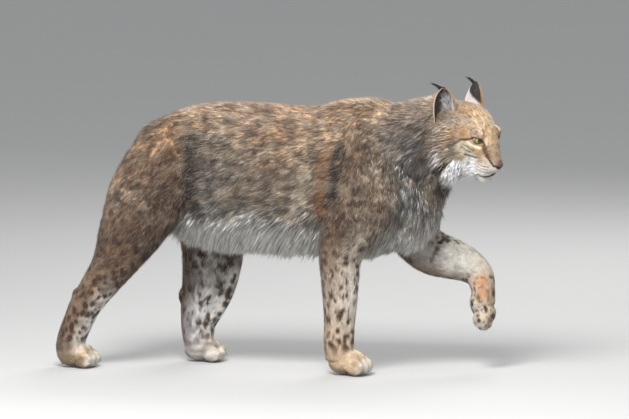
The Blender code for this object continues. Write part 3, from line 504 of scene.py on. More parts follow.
def union_skins(skin, head):
    """Makes the head's skin part of the body's, with no wall between them."""
    step = skin.modifiers.new("head", "BOOLEAN")
    step.operation = "UNION"
    step.solver = "EXACT"
    step.object = head
    apply_modifiers(skin)
    bpy.data.objects.remove(head)


def eye_frame(side):
    """The eye's middle, its aim, and the slit's long and short ways, in the head's frame."""
    aim = unit(mirrored(EYE_AIM, side))
    level = unit(np.cross((0.0, 0.0, 1.0), aim)) * side
    upright = np.cross(aim, level) * side
    slant = math.radians(SLIT_SLANT)
    long_way = level * math.cos(slant) + upright * math.sin(slant)
    short_way = upright * math.cos(slant) - level * math.sin(slant)
    return mirrored(EYE_PLACE, side), aim, long_way, short_way


def almond(grow, points=40):
    """The open lids' outline: cosine along, sine up, lower above than below and flat at both corners."""
    turn = np.linspace(0.0, math.tau, points, endpoint=False)
    rise = np.sin(turn) * (1.0 - 0.35 * np.cos(turn) ** 2) * np.where(np.sin(turn) > 0, 0.80, 1.15)
    return np.stack([np.cos(turn) * (SLIT_WIDTH / 2 + grow), rise * (SLIT_HEIGHT / 2 + grow)], axis=1)


def cut_slits(skin):
    """Opens the lids of the head's skin in front of each eye, down to the socket."""
    for side in (LEFT, RIGHT):
        place, aim, long_way, short_way = eye_frame(side)
        flat = almond(0.0)
        ring = flat[:, :1] * long_way + flat[:, 1:] * short_way
        prism = np.stack([place + aim * depth + ring for depth in (-0.004, 0.040)])
        verts, faces = closed_grid(prism)
        cutter = make_object("slit", from_head(verts), faces)
        bm = bmesh.new()
        bm.from_mesh(cutter.data)
        bmesh.ops.recalc_face_normals(bm, faces=bm.faces)
        bm.to_mesh(cutter.data)
        bm.free()
        step = skin.modifiers.new("slit", "BOOLEAN")
        step.operation = "DIFFERENCE"
        step.solver = "EXACT"
        step.object = cutter
        apply_modifiers(skin)
        bpy.data.objects.remove(cutter)


# Where a point of the skin is, and how its hair lies.


def make_bones():
    """The middle lines that tell a point's part of the body, with each sample's radius, run and hair length."""
    bones = {}
    x, top, low, wide, _ = catmull_rom(TRUNK, 6).T
    low = low + BELLY_HANG
    middle = np.stack([x, 0 * x, (top + low) / 2], axis=1)
    bones["trunk"] = (middle, np.stack([wide, (top - low) / 2], 1), np.tile((-1.0, 0, 0), (len(x), 1)), 0 * x + 0.030)
    tables = {
        "neck": NECK,
        "tail": TAIL,
        "foreleg_right": FORELEG_RIGHT,
        "foreleg_left": FORELEG_LEFT,
        "hindleg_right": HINDLEG_RIGHT,
        "hindleg_left": HINDLEG_LEFT,
    }
    for name, table in tables.items():
        rows = catmull_rom(table, 6)
        run = unit(np.gradient(rows[:, :3], axis=0))
        bones[name] = (rows[:, :3], rows[:, 3:5], -run if name == "neck" else run, rows[:, 6])
    for name, (place, turn, pitch, size) in PAWS.items():
        spin = Matrix.Rotation(math.radians(turn), 3, "Z") @ Matrix.Rotation(math.radians(pitch), 3, "Y")
        ahead = np.array(spin @ Vector((1.0, 0.0, 0.0)))
        up = np.array(spin @ Vector((0.0, 0.0, 1.0)))
        reach = np.linspace(-0.02, 0.05, 8)[:, None]
        middle = np.array(place) + ahead * reach * size + up * 0.024 * size
        way = unit(ahead - 0.35 * up)
        paw = name.replace("leg", "paw")
        bones[paw] = (middle, np.full((8, 2), 0.034), np.tile(way, (8, 1)), np.full(8, 0.0085))
    return bones


BONES = make_bones()
NAMES = list(BONES)


def find_bones(points):
    """For each point: how near each bone is in that bone's radii, its nearest sample, and the soft shares."""
    parts = [find_bones_near(part) for part in np.array_split(points, len(points) // 20000 + 1)]
    nearness, nearest = (np.concatenate([part[k] for part in parts]) for k in (0, 1))
    soft = np.exp(-9.0 * (nearness - nearness.min(1, keepdims=True)))
    return nearness, nearest, soft / soft.sum(1, keepdims=True)


def find_bones_near(points):
    """The nearness and nearest sample of every bone, for a share of the points."""
    nearness = np.empty((len(points), len(NAMES)))
    nearest = np.empty((len(points), len(NAMES)), int)
    for k, name in enumerate(NAMES):
        middle, radii, _, _ = BONES[name]
        away = points[:, None, :] - middle[None]
        if name == "trunk":
            away = away / np.stack([np.full(len(radii), 0.05), radii[:, 0], radii[:, 1]], axis=1)
            score = np.linalg.norm(away, axis=-1)
        else:
            score = np.linalg.norm(away, axis=-1) / radii.mean(1)
        nearest[:, k] = score.argmin(1)
        nearness[:, k] = score.min(1)
    return nearness, nearest


def chest_share(points):
    """One on the front of the chest between the forelegs, falling to none round it."""
    away = np.linalg.norm((points - (0.185, 0.006, 0.420)) / (0.100, 0.086, 0.130), axis=1)
    return step_between(1.15, 0.85, away) * step_between(0.10, 0.15, points[:, 0])


def hair_lie(points, normals):
    """How the body's hair lies: its way, its length, its lift in radians and how far it hangs by its weight."""
    _, nearest, soft = find_bones(points)
    way = np.zeros_like(points)
    length = np.zeros(len(points))
    lift = np.zeros(len(points))
    hang = np.zeros(len(points))
    for k, name in enumerate(NAMES):
        middle, radii, run, lengths = BONES[name]
        at = nearest[:, k]
        share = soft[:, k]
        ways = run[at].copy()
        long_ = lengths[at].copy()
        lifts = np.full(len(points), 0.34)
        hangs = np.zeros(len(points))
        if name == "trunk":
            rel = (points[:, 2] - middle[at, 2]) / radii[at, 1]
            belly = step_between(0.30, 0.72, -rel)
            sides = step_between(-0.2, 0.9, 1.0 - np.abs(rel))
            ways = np.stack([-1.0 + 0.55 * belly, 0 * rel, -0.25 - 0.35 * sides - 0.6 * belly], 1)
            drop = points[:, 2] - (middle[at, 2] - radii[at, 1] - BELLY_HANG)
            long_ = long_ * COAT_LENGTH
            long_ = long_ + (np.clip(drop * 0.86 + 0.004, 0.022, 0.064) - long_) * belly
            hangs = 0.85 * belly
            lifts = lifts + 0.05 * belly
        elif name == "neck":
            front = step_between(-0.05, 0.55, normals[:, 0])
            under = step_between(0.0, 0.7, -normals[:, 2])
            low = np.maximum(front, under)
            ways = np.stack([-0.75 + 0.70 * low, 0 * low, -0.55 - 0.45 * low], 1)
            long_ = long_ * 0.80 + 0.008 * low
            hangs = 0.35 * low
            lifts = lifts + 0.10
        elif "hindleg" in name:
            ways = ways + np.array((-0.35, 0.0, 0.0))
        elif "foreleg" in name:
            ways = ways + np.array((-0.15, 0.0, 0.0))
            ways = ways + np.array((-0.2, 0.0, -1.6)) * step_between(0.33, 0.40, points[:, 2])[:, None]
        if "leg" in name or "paw" in name:
            long_ = long_ * COAT_LENGTH
            lifts = lifts - 0.07
        if "paw" in name:
            long_ = long_ * 1.25
            lifts = lifts + 0.10
        way += share[:, None] * unit(ways)
        length += share * long_
        lift += share * lifts
        hang += share * hangs
    chest = chest_share(points)
    way = unit(way) * (1.0 - chest[:, None]) + np.array((-0.15, 0.0, -1.0)) * chest[:, None]
    length = length + (0.034 - length) * chest
    lift = lift + (0.42 - lift) * chest
    hang = hang * (1.0 - chest) + 0.15 * chest
    swirl = np.stack([smooth_noise(points, 0.045, 70 + k) - 0.5 for k in range(3)], axis=1)
    curl = np.stack([smooth_noise(points, 0.015, 74 + k) - 0.5 for k in range(3)], axis=1)
    length = length * (0.80 + 0.40 * smooth_noise(points, 0.012, 78))
    return unit(way + 0.50 * swirl + 0.75 * curl * (1.0 - hang[:, None])), length, lift, hang


def head_lie(local, normals):
    """How the head's hair lies, in the head's frame: back from the nose, down the cheeks, back on the crown."""
    x, y, z = local.T
    out = np.abs(y)
    side = np.sign(y)
    cheek = step_between(0.060, 0.020, x) * step_between(0.030, -0.015, z) * step_between(0.020, 0.045, out)
    jaw = step_between(-0.060, -0.074, z) * step_between(0.100, 0.070, x)
    crown = step_between(0.030, 0.065, z)
    way = np.stack([-np.ones_like(x), 0.35 * side * step_between(0.02, 0.06, out), 0.35 * crown - 0.12], 1)
    way = way + cheek[:, None] * (np.stack([0.45 + 0 * x, 0.20 * side, -0.85 + 0 * x], 1))
    way = way + jaw[:, None] * np.array((0.2, 0.0, -0.9))
    length = np.full(len(x), 0.0062)
    length += 0.005 * step_between(0.085, 0.050, x) * (1.0 - cheek)
    length += 0.007 * step_between(0.030, -0.020, x)
    length += 0.006 * cheek + 0.008 * jaw
    length += 0.012 * step_between(-0.035, -0.075, x)
    length -= 0.0022 * step_between(0.095, 0.115, x)
    lift = 0.26 + 0.10 * cheek + 0.15 * jaw
    return unit(way), length, lift, 0.25 * jaw


# Colours.

# The trunk's and neck's coat: x, |y|, z, the colour there and how far it reaches; a few dark ones are painted shade in
# the folds.
COAT_PATCHES = (
    ((-0.490, 0.050, 0.585), (150, 118, 92), 0.045),
    ((-0.440, 0.030, 0.620), (178, 142, 110), 0.045),
    ((-0.405, 0.061, 0.587), (186, 144, 102), 0.035),
    ((-0.340, 0.000, 0.640), (182, 148, 120), 0.060),
    ((-0.370, 0.078, 0.565), (132, 104, 84), 0.028),
    # These two are painted shade in the fold in front of the thigh.
    ((-0.376, 0.093, 0.505), (80, 60, 46), 0.036),
    ((-0.381, 0.088, 0.430), (64, 48, 38), 0.036),
    ((-0.243, 0.006, 0.640), (172, 136, 110), 0.060),
    ((-0.163, 0.021, 0.634), (176, 138, 104), 0.050),
    ((-0.090, 0.007, 0.634), (176, 134, 96), 0.050),
    ((0.022, 0.040, 0.659), (182, 146, 110), 0.045),
    ((0.078, 0.021, 0.650), (178, 146, 114), 0.040),
    ((0.139, 0.014, 0.641), (180, 146, 112), 0.040),
    ((0.196, 0.038, 0.645), (176, 144, 114), 0.040),
    ((0.245, 0.020, 0.665), (172, 136, 104), 0.035),
    ((-0.311, 0.082, 0.567), (164, 144, 126), 0.035),
    ((-0.263, 0.071, 0.592), (186, 156, 130), 0.035),
    ((-0.320, 0.094, 0.519), (124, 112, 104), 0.032),
    ((-0.269, 0.098, 0.508), (156, 142, 128), 0.032),
    ((-0.333, 0.094, 0.445), (104, 96, 90), 0.032),
    ((-0.283, 0.092, 0.421), (142, 124, 108), 0.030),
    ((-0.219, 0.093, 0.546), (180, 152, 124), 0.035),
    ((-0.230, 0.101, 0.461), (138, 118, 98), 0.032),
    ((-0.169, 0.093, 0.547), (160, 120, 86), 0.035),
    ((-0.179, 0.102, 0.450), (146, 126, 108), 0.032),
    ((-0.120, 0.087, 0.560), (164, 126, 92), 0.035),
    ((-0.128, 0.104, 0.476), (152, 124, 98), 0.032),
    ((-0.091, 0.098, 0.525), (188, 162, 132), 0.032),
    ((-0.074, 0.068, 0.597), (186, 158, 130), 0.035),
    ((-0.065, 0.103, 0.477), (200, 180, 154), 0.028),
    ((-0.180, 0.051, 0.617), (190, 158, 128), 0.040),
    ((-0.091, 0.099, 0.427), (178, 162, 142), 0.030),
    ((-0.194, 0.095, 0.412), (134, 118, 100), 0.026),
    ((-0.143, 0.096, 0.413), (144, 128, 112), 0.026),
    ((-0.325, 0.075, 0.375), (214, 212, 212), 0.026),
    ((-0.220, 0.080, 0.365), (210, 208, 206), 0.026),
    ((-0.120, 0.080, 0.365), (208, 206, 202), 0.026),
    ((-0.060, 0.080, 0.375), (188, 180, 170), 0.026),
    ((-0.389, 0.068, 0.316), (230, 228, 230), 0.040),
    ((-0.300, 0.050, 0.305), (234, 232, 234), 0.050),
    ((-0.216, 0.010, 0.305), (232, 230, 230), 0.060),
    ((-0.135, 0.029, 0.310), (230, 228, 226), 0.060),
    ((-0.030, 0.020, 0.300), (230, 228, 224), 0.060),
    ((-0.030, 0.099, 0.503), (172, 122, 74), 0.022),
    ((-0.044, 0.096, 0.455), (166, 112, 62), 0.022),
    ((-0.047, 0.094, 0.410), (160, 102, 52), 0.024),
    # These three are painted shade in the fold behind the upper arm.
    ((-0.006, 0.097, 0.480), (76, 54, 38), 0.018),
    ((-0.012, 0.097, 0.440), (66, 46, 34), 0.020),
    ((-0.020, 0.088, 0.395), (60, 42, 32), 0.020),
    ((0.014, 0.065, 0.611), (184, 142, 104), 0.032),
    ((-0.007, 0.081, 0.575), (184, 148, 114), 0.028),
    ((0.058, 0.089, 0.553), (150, 128, 108), 0.034),
    ((0.039, 0.111, 0.481), (112, 96, 84), 0.040),
    ((0.115, 0.111, 0.483), (158, 144, 128), 0.030),
    ((0.105, 0.123, 0.435), (166, 150, 132), 0.028),
    ((0.069, 0.132, 0.410), (110, 94, 82), 0.038),
    ((0.033, 0.136, 0.366), (104, 84, 68), 0.030),
    ((0.151, 0.059, 0.602), (116, 100, 90), 0.034),
    ((0.191, 0.064, 0.554), (124, 116, 114), 0.032),
    ((0.154, 0.068, 0.517), (136, 130, 126), 0.034),
    ((0.217, 0.067, 0.617), (108, 92, 82), 0.026),
    ((0.174, 0.050, 0.466), (166, 160, 156), 0.034),
    ((0.217, 0.021, 0.452), (158, 146, 136), 0.030),
    ((0.140, 0.094, 0.482), (158, 146, 136), 0.024),
    ((0.152, 0.061, 0.418), (214, 212, 210), 0.040),
    ((0.093, 0.032, 0.327), (232, 230, 226), 0.044),
    ((0.170, 0.035, 0.354), (226, 224, 224), 0.044),
    ((0.201, 0.060, 0.380), (200, 198, 200), 0.030),
    ((0.112, 0.060, 0.291), (228, 226, 226), 0.044),
)
# Each kind of leg: how far down it (0 to 1), then the coat outside, inside, in front and behind.
LEG_COATS = {
    "foreleg": (
        (0.00, (152, 126, 102), (150, 132, 116), (170, 148, 126), (150, 120, 92)),
        (0.22, (116, 100, 86), (170, 160, 150), (162, 148, 132), (140, 106, 74)),
        (0.38, (104, 86, 70), (200, 194, 188), (186, 174, 160), (112, 80, 52)),
        (0.50, (186, 160, 138), (214, 208, 204), (224, 214, 202), (138, 112, 90)),
        (0.65, (214, 196, 180), (218, 212, 208), (234, 226, 216), (172, 154, 138)),
        (0.85, (200, 172, 144), (210, 200, 190), (222, 202, 178), (178, 150, 124)),
        (1.00, (204, 172, 138), (212, 196, 178), (226, 198, 164), (182, 154, 128)),
    ),
    "hindleg": (
        (0.00, (166, 134, 106), (150, 132, 116), (150, 120, 92), (150, 124, 100)),
        (0.15, (160, 126, 94), (170, 160, 150), (104, 76, 54), (142, 114, 88)),
        (0.30, (124, 92, 66), (204, 198, 192), (76, 52, 36), (126, 98, 74)),
        (0.45, (108, 78, 56), (210, 206, 204), (104, 76, 56), (100, 76, 58)),
        (0.54, (132, 100, 74), (210, 206, 208), (226, 220, 214), (112, 84, 60)),
        (0.72, (142, 114, 90), (206, 202, 208), (232, 226, 222), (100, 74, 54)),
        (0.86, (146, 120, 98), (192, 188, 192), (216, 208, 198), (108, 80, 60)),
        (1.00, (176, 146, 114), (196, 188, 184), (214, 194, 168), (120, 92, 70)),
    ),
}
# The ruff, in the head's frame: the line where it grows, and the line of its tips, from the back to the front.
RUFF_FOOT = (
    (-0.006, 0.068, 0.016),
    (0.002, 0.070, -0.014),
    (0.010, 0.069, -0.042),
    (0.020, 0.062, -0.060),
    (0.038, 0.052, -0.066),
    (0.056, 0.044, -0.066),
)
RUFF_TIPS = (
    (-0.042, 0.090, 0.000),
    (-0.042, 0.094, -0.045),
    (-0.026, 0.088, -0.106),
    (-0.002, 0.078, -0.118),
    (0.034, 0.062, -0.142),
    (0.050, 0.050, -0.108),
)
RUFF_LOCKS, RUFF_BAND = 17, 0.042
# The head's coat, in its own frame: x, |y|, z, colour, reach.
HEAD_PATCHES = (
    ((0.0681, 0.0390, 0.0400), (180, 156, 136), 0.010),
    ((0.0386, 0.0556, 0.0269), (180, 144, 104), 0.015),
    ((0.0255, 0.0475, 0.0526), (170, 152, 136), 0.015),
    ((0.0210, 0.0323, 0.0696), (172, 130, 88), 0.011),
    ((-0.0026, 0.0132, 0.0768), (188, 152, 110), 0.018),
    ((0.0372, 0.0150, 0.0780), (190, 158, 122), 0.013),
    ((0.0645, 0.0057, 0.0676), (184, 158, 130), 0.014),
    ((0.0786, 0.0109, 0.0544), (182, 160, 136), 0.013),
    ((0.0895, 0.0115, 0.0406), (186, 154, 120), 0.010),
    ((0.0989, 0.0043, 0.0272), (186, 158, 130), 0.010),
    ((0.1132, 0.0065, 0.0011), (160, 138, 116), 0.010),
    ((0.1258, 0.0054, -0.0156), (146, 124, 104), 0.008),
    ((0.0891, 0.0365, -0.0080), (172, 142, 110), 0.008),
    ((0.1015, 0.0261, -0.0020), (122, 94, 72), 0.006),
    ((0.1094, 0.0244, -0.0133), (128, 94, 72), 0.005),
    ((0.1038, 0.0299, -0.0274), (186, 164, 148), 0.009),
    ((0.1150, 0.0260, -0.0350), (206, 192, 182), 0.008),
    ((0.0751, 0.0418, -0.0330), (230, 228, 228), 0.009),
    ((0.0565, 0.0634, -0.0075), (186, 176, 158), 0.011),
    ((0.0450, 0.0620, -0.0250), (160, 144, 124), 0.011),
    ((0.0399, 0.0457, -0.0630), (230, 226, 220), 0.015),
    ((0.0158, 0.0626, 0.0017), (150, 122, 96), 0.016),
    ((-0.0085, 0.0616, -0.0540), (150, 128, 106), 0.020),
    ((0.1120, 0.0240, -0.0560), (232, 228, 226), 0.012),
    ((0.0900, 0.0300, -0.0600), (230, 228, 228), 0.012),
    ((0.0950, 0.0000, -0.0880), (232, 228, 230), 0.016),
    ((0.0600, 0.0360, -0.0700), (232, 230, 226), 0.016),
    ((0.0300, 0.0300, -0.0850), (220, 216, 210), 0.022),
    ((-0.0600, 0.0500, 0.0500), (132, 110, 92), 0.024),
    ((-0.0400, 0.0000, 0.0820), (166, 136, 104), 0.028),
    ((-0.0300, 0.0650, 0.0100), (136, 116, 98), 0.020),
)


def blend_patches(points, patches):
    """Colours from the patches: each weighs exp(-(distance / reach)^2), so the nearest one rules."""
    total = np.zeros((len(points), 3))
    weights = np.zeros(len(points))
    for place, colour, reach in patches:
        away = np.linalg.norm(points - np.array(place), axis=1)
        weight = np.exp(-np.minimum((away / reach) ** 2, 60.0)) + 1e-7 / (away**2 + 1e-5)
        total += weight[:, None] * srgb(*colour)
        weights += weight
    return total / weights[:, None]


def near_line(points, line, width):
    """One on a broken line and falling to none past its width."""
    line = np.asarray(line, float)
    best = np.full(len(points), 1e9)
    for a, b in zip(line, line[1:]):
        t = np.clip(((points - a) @ (b - a)) / ((b - a) @ (b - a)), 0.0, 1.0)
        best = np.minimum(best, np.linalg.norm(points - (a + t[:, None] * (b - a)), axis=1))
    return 1.0 - step_between(0.55 * width, 1.25 * width, best)


# Dark bars and marks on the inner side of a lifted foreleg: line, width.
LEG_BARS = (
    (((0.217, 0.075, 0.312), (0.232, 0.080, 0.326)), 0.0060),
    (((0.213, 0.067, 0.300), (0.199, 0.067, 0.271), (0.184, 0.088, 0.240)), 0.0075),
    (((0.257, 0.074, 0.294), (0.262, 0.074, 0.296)), 0.0042),
    (((0.238, 0.069, 0.286), (0.236, 0.069, 0.290)), 0.0038),
    (((0.269, 0.069, 0.276), (0.266, 0.069, 0.272)), 0.0045),
    (((0.236, 0.068, 0.268), (0.240, 0.068, 0.264)), 0.0042),
    (((0.248, 0.070, 0.254), (0.252, 0.070, 0.257)), 0.0036),
    (((0.296, 0.079, 0.282), (0.300, 0.079, 0.277)), 0.0036),
    (((0.284, 0.079, 0.236), (0.286, 0.080, 0.210)), 0.0050),
)
WRIST_PATCHES = (((0.322, 0.070, 0.220), 0.020), ((0.328, 0.068, 0.190), 0.014))
# Dark lines of the face, in the head's frame on the left side: line, width, strength.
FACE_LINES = (
    (((0.0720, 0.0425, 0.0215), (0.0565, 0.0535, 0.0133), (0.0479, 0.0590, 0.0123)), 0.0023, 0.95),
    (((0.0479, 0.0590, 0.0123), (0.0417, 0.0646, 0.0032), (0.0325, 0.0674, -0.0061)), 0.0028, 0.90),
    (((0.0325, 0.0674, -0.0061), (0.0220, 0.0690, -0.0160)), 0.0024, 0.55),
    (((0.0930, 0.0300, 0.0200), (0.0975, 0.0262, 0.0110)), 0.0022, 0.95),
    (((0.0970, 0.0268, 0.0090), (0.1015, 0.0261, 0.0000), (0.1094, 0.0244, -0.0133)), 0.0034, 0.50),
    (((0.1094, 0.0244, -0.0133), (0.1188, 0.0213, -0.0235), (0.1294, 0.0154, -0.0364)), 0.0026, 0.95),
    (((0.0551, 0.0629, -0.0028), (0.0672, 0.0563, -0.0087), (0.0753, 0.0459, -0.0141)), 0.0016, 0.75),
    (((0.0572, 0.0593, 0.0039), (0.0685, 0.0521, -0.0011), (0.0778, 0.0426, -0.0084)), 0.0014, 0.65),
    (((0.0670, 0.0576, -0.0191), (0.0758, 0.0445, -0.0232), (0.0865, 0.0376, -0.0245)), 0.0022, 0.88),
    (((0.0450, 0.0660, -0.0090), (0.0600, 0.0610, -0.0150)), 0.0016, 0.60),
    (((0.0336, 0.0682, -0.0252), (0.0561, 0.0646, -0.0190)), 0.0020, 0.60),
    (((0.0830, 0.0230, 0.0427), (0.0916, 0.0263, 0.0332)), 0.0030, 0.65),
)
# Pale lines of the face, likewise.
PALE_LINES = (
    (((0.0372, 0.0183, 0.0757), (0.0572, 0.0255, 0.0629), (0.0726, 0.0290, 0.0477)), 0.0024, 0.34),
    (((0.0726, 0.0290, 0.0477), (0.0874, 0.0310, 0.0380), (0.0973, 0.0220, 0.0260)), 0.0028, 0.42),
    (((0.0965, 0.0210, 0.0250), (0.0995, 0.0215, 0.0110)), 0.0034, 0.45),
    (((0.0606, 0.0505, 0.0110), (0.0685, 0.0468, 0.0060), (0.0804, 0.0403, 0.0020)), 0.0026, 0.90),
    (((0.0804, 0.0403, 0.0020), (0.0911, 0.0337, 0.0010)), 0.0040, 0.90),
)


def head_colour(local):
    """The head's markings: patches, pale and dark lines, flecked brow and cheeks, and stripes along the crown."""
    x, y, z = local.T
    half = np.stack([x, np.abs(y), z], 1)
    colour = blend_patches(half, HEAD_PATCHES)
    cloud = smooth_noise(local, 0.0070, 3) * 0.6 + smooth_noise(local, 0.0035, 4) * 0.4
    calm = 1.0 - 0.7 * step_between(-0.035, -0.050, z) * step_between(0.05, 0.075, x)
    colour = colour * (1.0 + (cloud - 0.5) * 0.90 * calm)[:, None]
    pale = np.zeros(len(local))
    for line, width, strength in PALE_LINES:
        pale = np.maximum(pale, strength * near_line(half, line, width))
    colour = colour + (srgb(240, 226, 208) - colour) * pale[:, None]
    dark = np.zeros(len(local))
    for line, width, strength in FACE_LINES:
        dark = np.maximum(dark, strength * near_line(half, line, width * 1.3))
    for low in (-0.0395, -0.0460, -0.0525):
        gap = (z - low + 0.10 * (x - 0.100)) / 0.0018
        dots = 0.80 + 0.20 * np.sin(x / 0.0009 + low * 900.0)
        there = step_between(0.082, 0.088, x) * step_between(0.124, 0.118, x) * step_between(0.006, 0.012, np.abs(y))
        dark = np.maximum(dark, 0.92 * np.exp(-gap * gap) * dots * there)
    fleck = spots(local * (0.55, 1.0, 1.0), 0.0062, 0.0023, 0.85, 40) * step_between(0.022, 0.046, z)
    light = spots(local * (0.55, 1.0, 1.0), 0.0074, 0.0022, 0.60, 44) * step_between(0.022, 0.046, z)
    colour = colour + (srgb(232, 214, 190) - colour) * (0.55 * light)[:, None]
    stripe = np.maximum(np.sin(np.abs(y) / 0.0013 + 3.0 * smooth_noise(local, 0.018, 41)), 0.0) ** 3
    stripe = stripe * step_between(0.050, 0.070, z) * step_between(0.055, 0.030, np.abs(y))
    cheek = spots(local * (0.8, 1.0, 0.8), 0.0070, 0.0024, 0.75, 50) * step_between(0.060, 0.035, x)
    cheek = cheek * step_between(0.020, -0.010, z) * step_between(-0.075, -0.050, z)
    rows = np.maximum(np.sin(z / 0.0013 - x / 0.0045 + 5.0 * smooth_noise(local, 0.014, 52)), 0.0)
    rows = rows * step_between(0.052, 0.036, x) * step_between(0.016, -0.002, z) * step_between(-0.075, -0.058, z)
    rows = rows * step_between(0.030, 0.045, np.abs(y))
    bridge = spots(local * (0.45, 1.0, 1.0), 0.0044, 0.0017, 0.75, 54) * step_between(0.082, 0.092, x)
    bridge = bridge * step_between(-0.034, -0.022, z) * step_between(0.024, 0.017, np.abs(y))
    dark = np.maximum.reduce([dark, 0.85 * fleck, 0.55 * stripe, 0.60 * cheek, 0.60 * rows, 0.45 * bridge])
    return colour * (1.0 - dark[:, None]) * (1.0, 0.98, 0.89) + srgb(44, 31, 24) * dark[:, None]


def leg_colour(points, name, at):
    """A leg's coat: its table's four colours, blended by which way the point faces from the leg's middle line."""
    middle, _, run, _ = BONES[name]
    table = LEG_COATS[name.split("_")[0].replace("paw", "leg")]
    side = LEFT if name.endswith("left") else RIGHT
    if "paw" in name:
        along = np.ones(len(points))
    else:
        along = at / (len(middle) - 1.0)
    away = points - middle[at]
    away = unit(away - run[at] * np.sum(away * run[at], 1, keepdims=True))
    ahead = unit(np.array((1.0, 0.0, 0.35)) - run[at] * (run[at] @ np.array((1.0, 0.0, 0.35)))[:, None])
    front = np.sum(away * ahead, 1)
    out = away[:, 1] * side
    powers = ((out, 3.0), (-out, 2.4), (front, 0.9), (-front, 1.6))
    weights = np.stack([np.maximum(v, 0.0) ** power for v, power in powers], 1) + 1e-6
    weights = weights / weights.sum(1, keepdims=True)
    spot = [row[0] for row in table]
    colour = np.zeros((len(points), 3))
    for k in range(4):
        lines = np.array([srgb(*row[k + 1]) for row in table])
        there = np.stack([np.interp(along, spot, lines[:, c]) for c in range(3)], 1)
        colour += weights[:, k : k + 1] * there
    if "paw" in name:
        ahead = np.sum((points - middle[0]) * run[at], 1)
        white = step_between(0.052, 0.070, ahead)
        colour = colour + (srgb(228, 218, 206) - colour) * white[:, None]
    return colour


# Painted shade along the folds of the coat, in front of the thigh and behind the upper arm, with their widths.
FOLD_SHADE_LINES = (
    (((-0.366, 0.090, 0.566), (-0.370, 0.092, 0.505), (-0.372, 0.088, 0.440), (-0.356, 0.082, 0.388)), 0.019),
    (((0.004, 0.092, 0.560), (-0.008, 0.098, 0.505), (-0.012, 0.098, 0.450), (-0.014, 0.092, 0.395)), 0.013),
    (((-0.014, 0.092, 0.395), (0.010, 0.120, 0.360), (0.034, 0.136, 0.348)), 0.009),
)
# How much further forward the left legs stand, and the rusty band behind the arm's fold.
LEFT_STRIDE = 0.070
ARM_BAND = ((-0.026, 0.094, 0.535), (-0.040, 0.098, 0.480), (-0.045, 0.096, 0.420), (-0.040, 0.088, 0.385))


# What deepens the coat's colours: low and high on the trunk, and on the other parts; partly the coat's own tone and
# partly painted shade, darker low and lighter high on the trunk, darker on the arm and thigh and bluer on the neck.
COAT_TONES_AND_SHADE = {
    "low": (0.70, 0.72, 0.71),
    "rise": (0.17, 0.11, 0.04),
    "neck": (0.86, 0.91, 0.95),
    "arm": (0.58, 0.53, 0.46),
    "thigh": (0.78, 0.71, 0.58),
    "pale": (0.90, 0.90, 0.86),
}


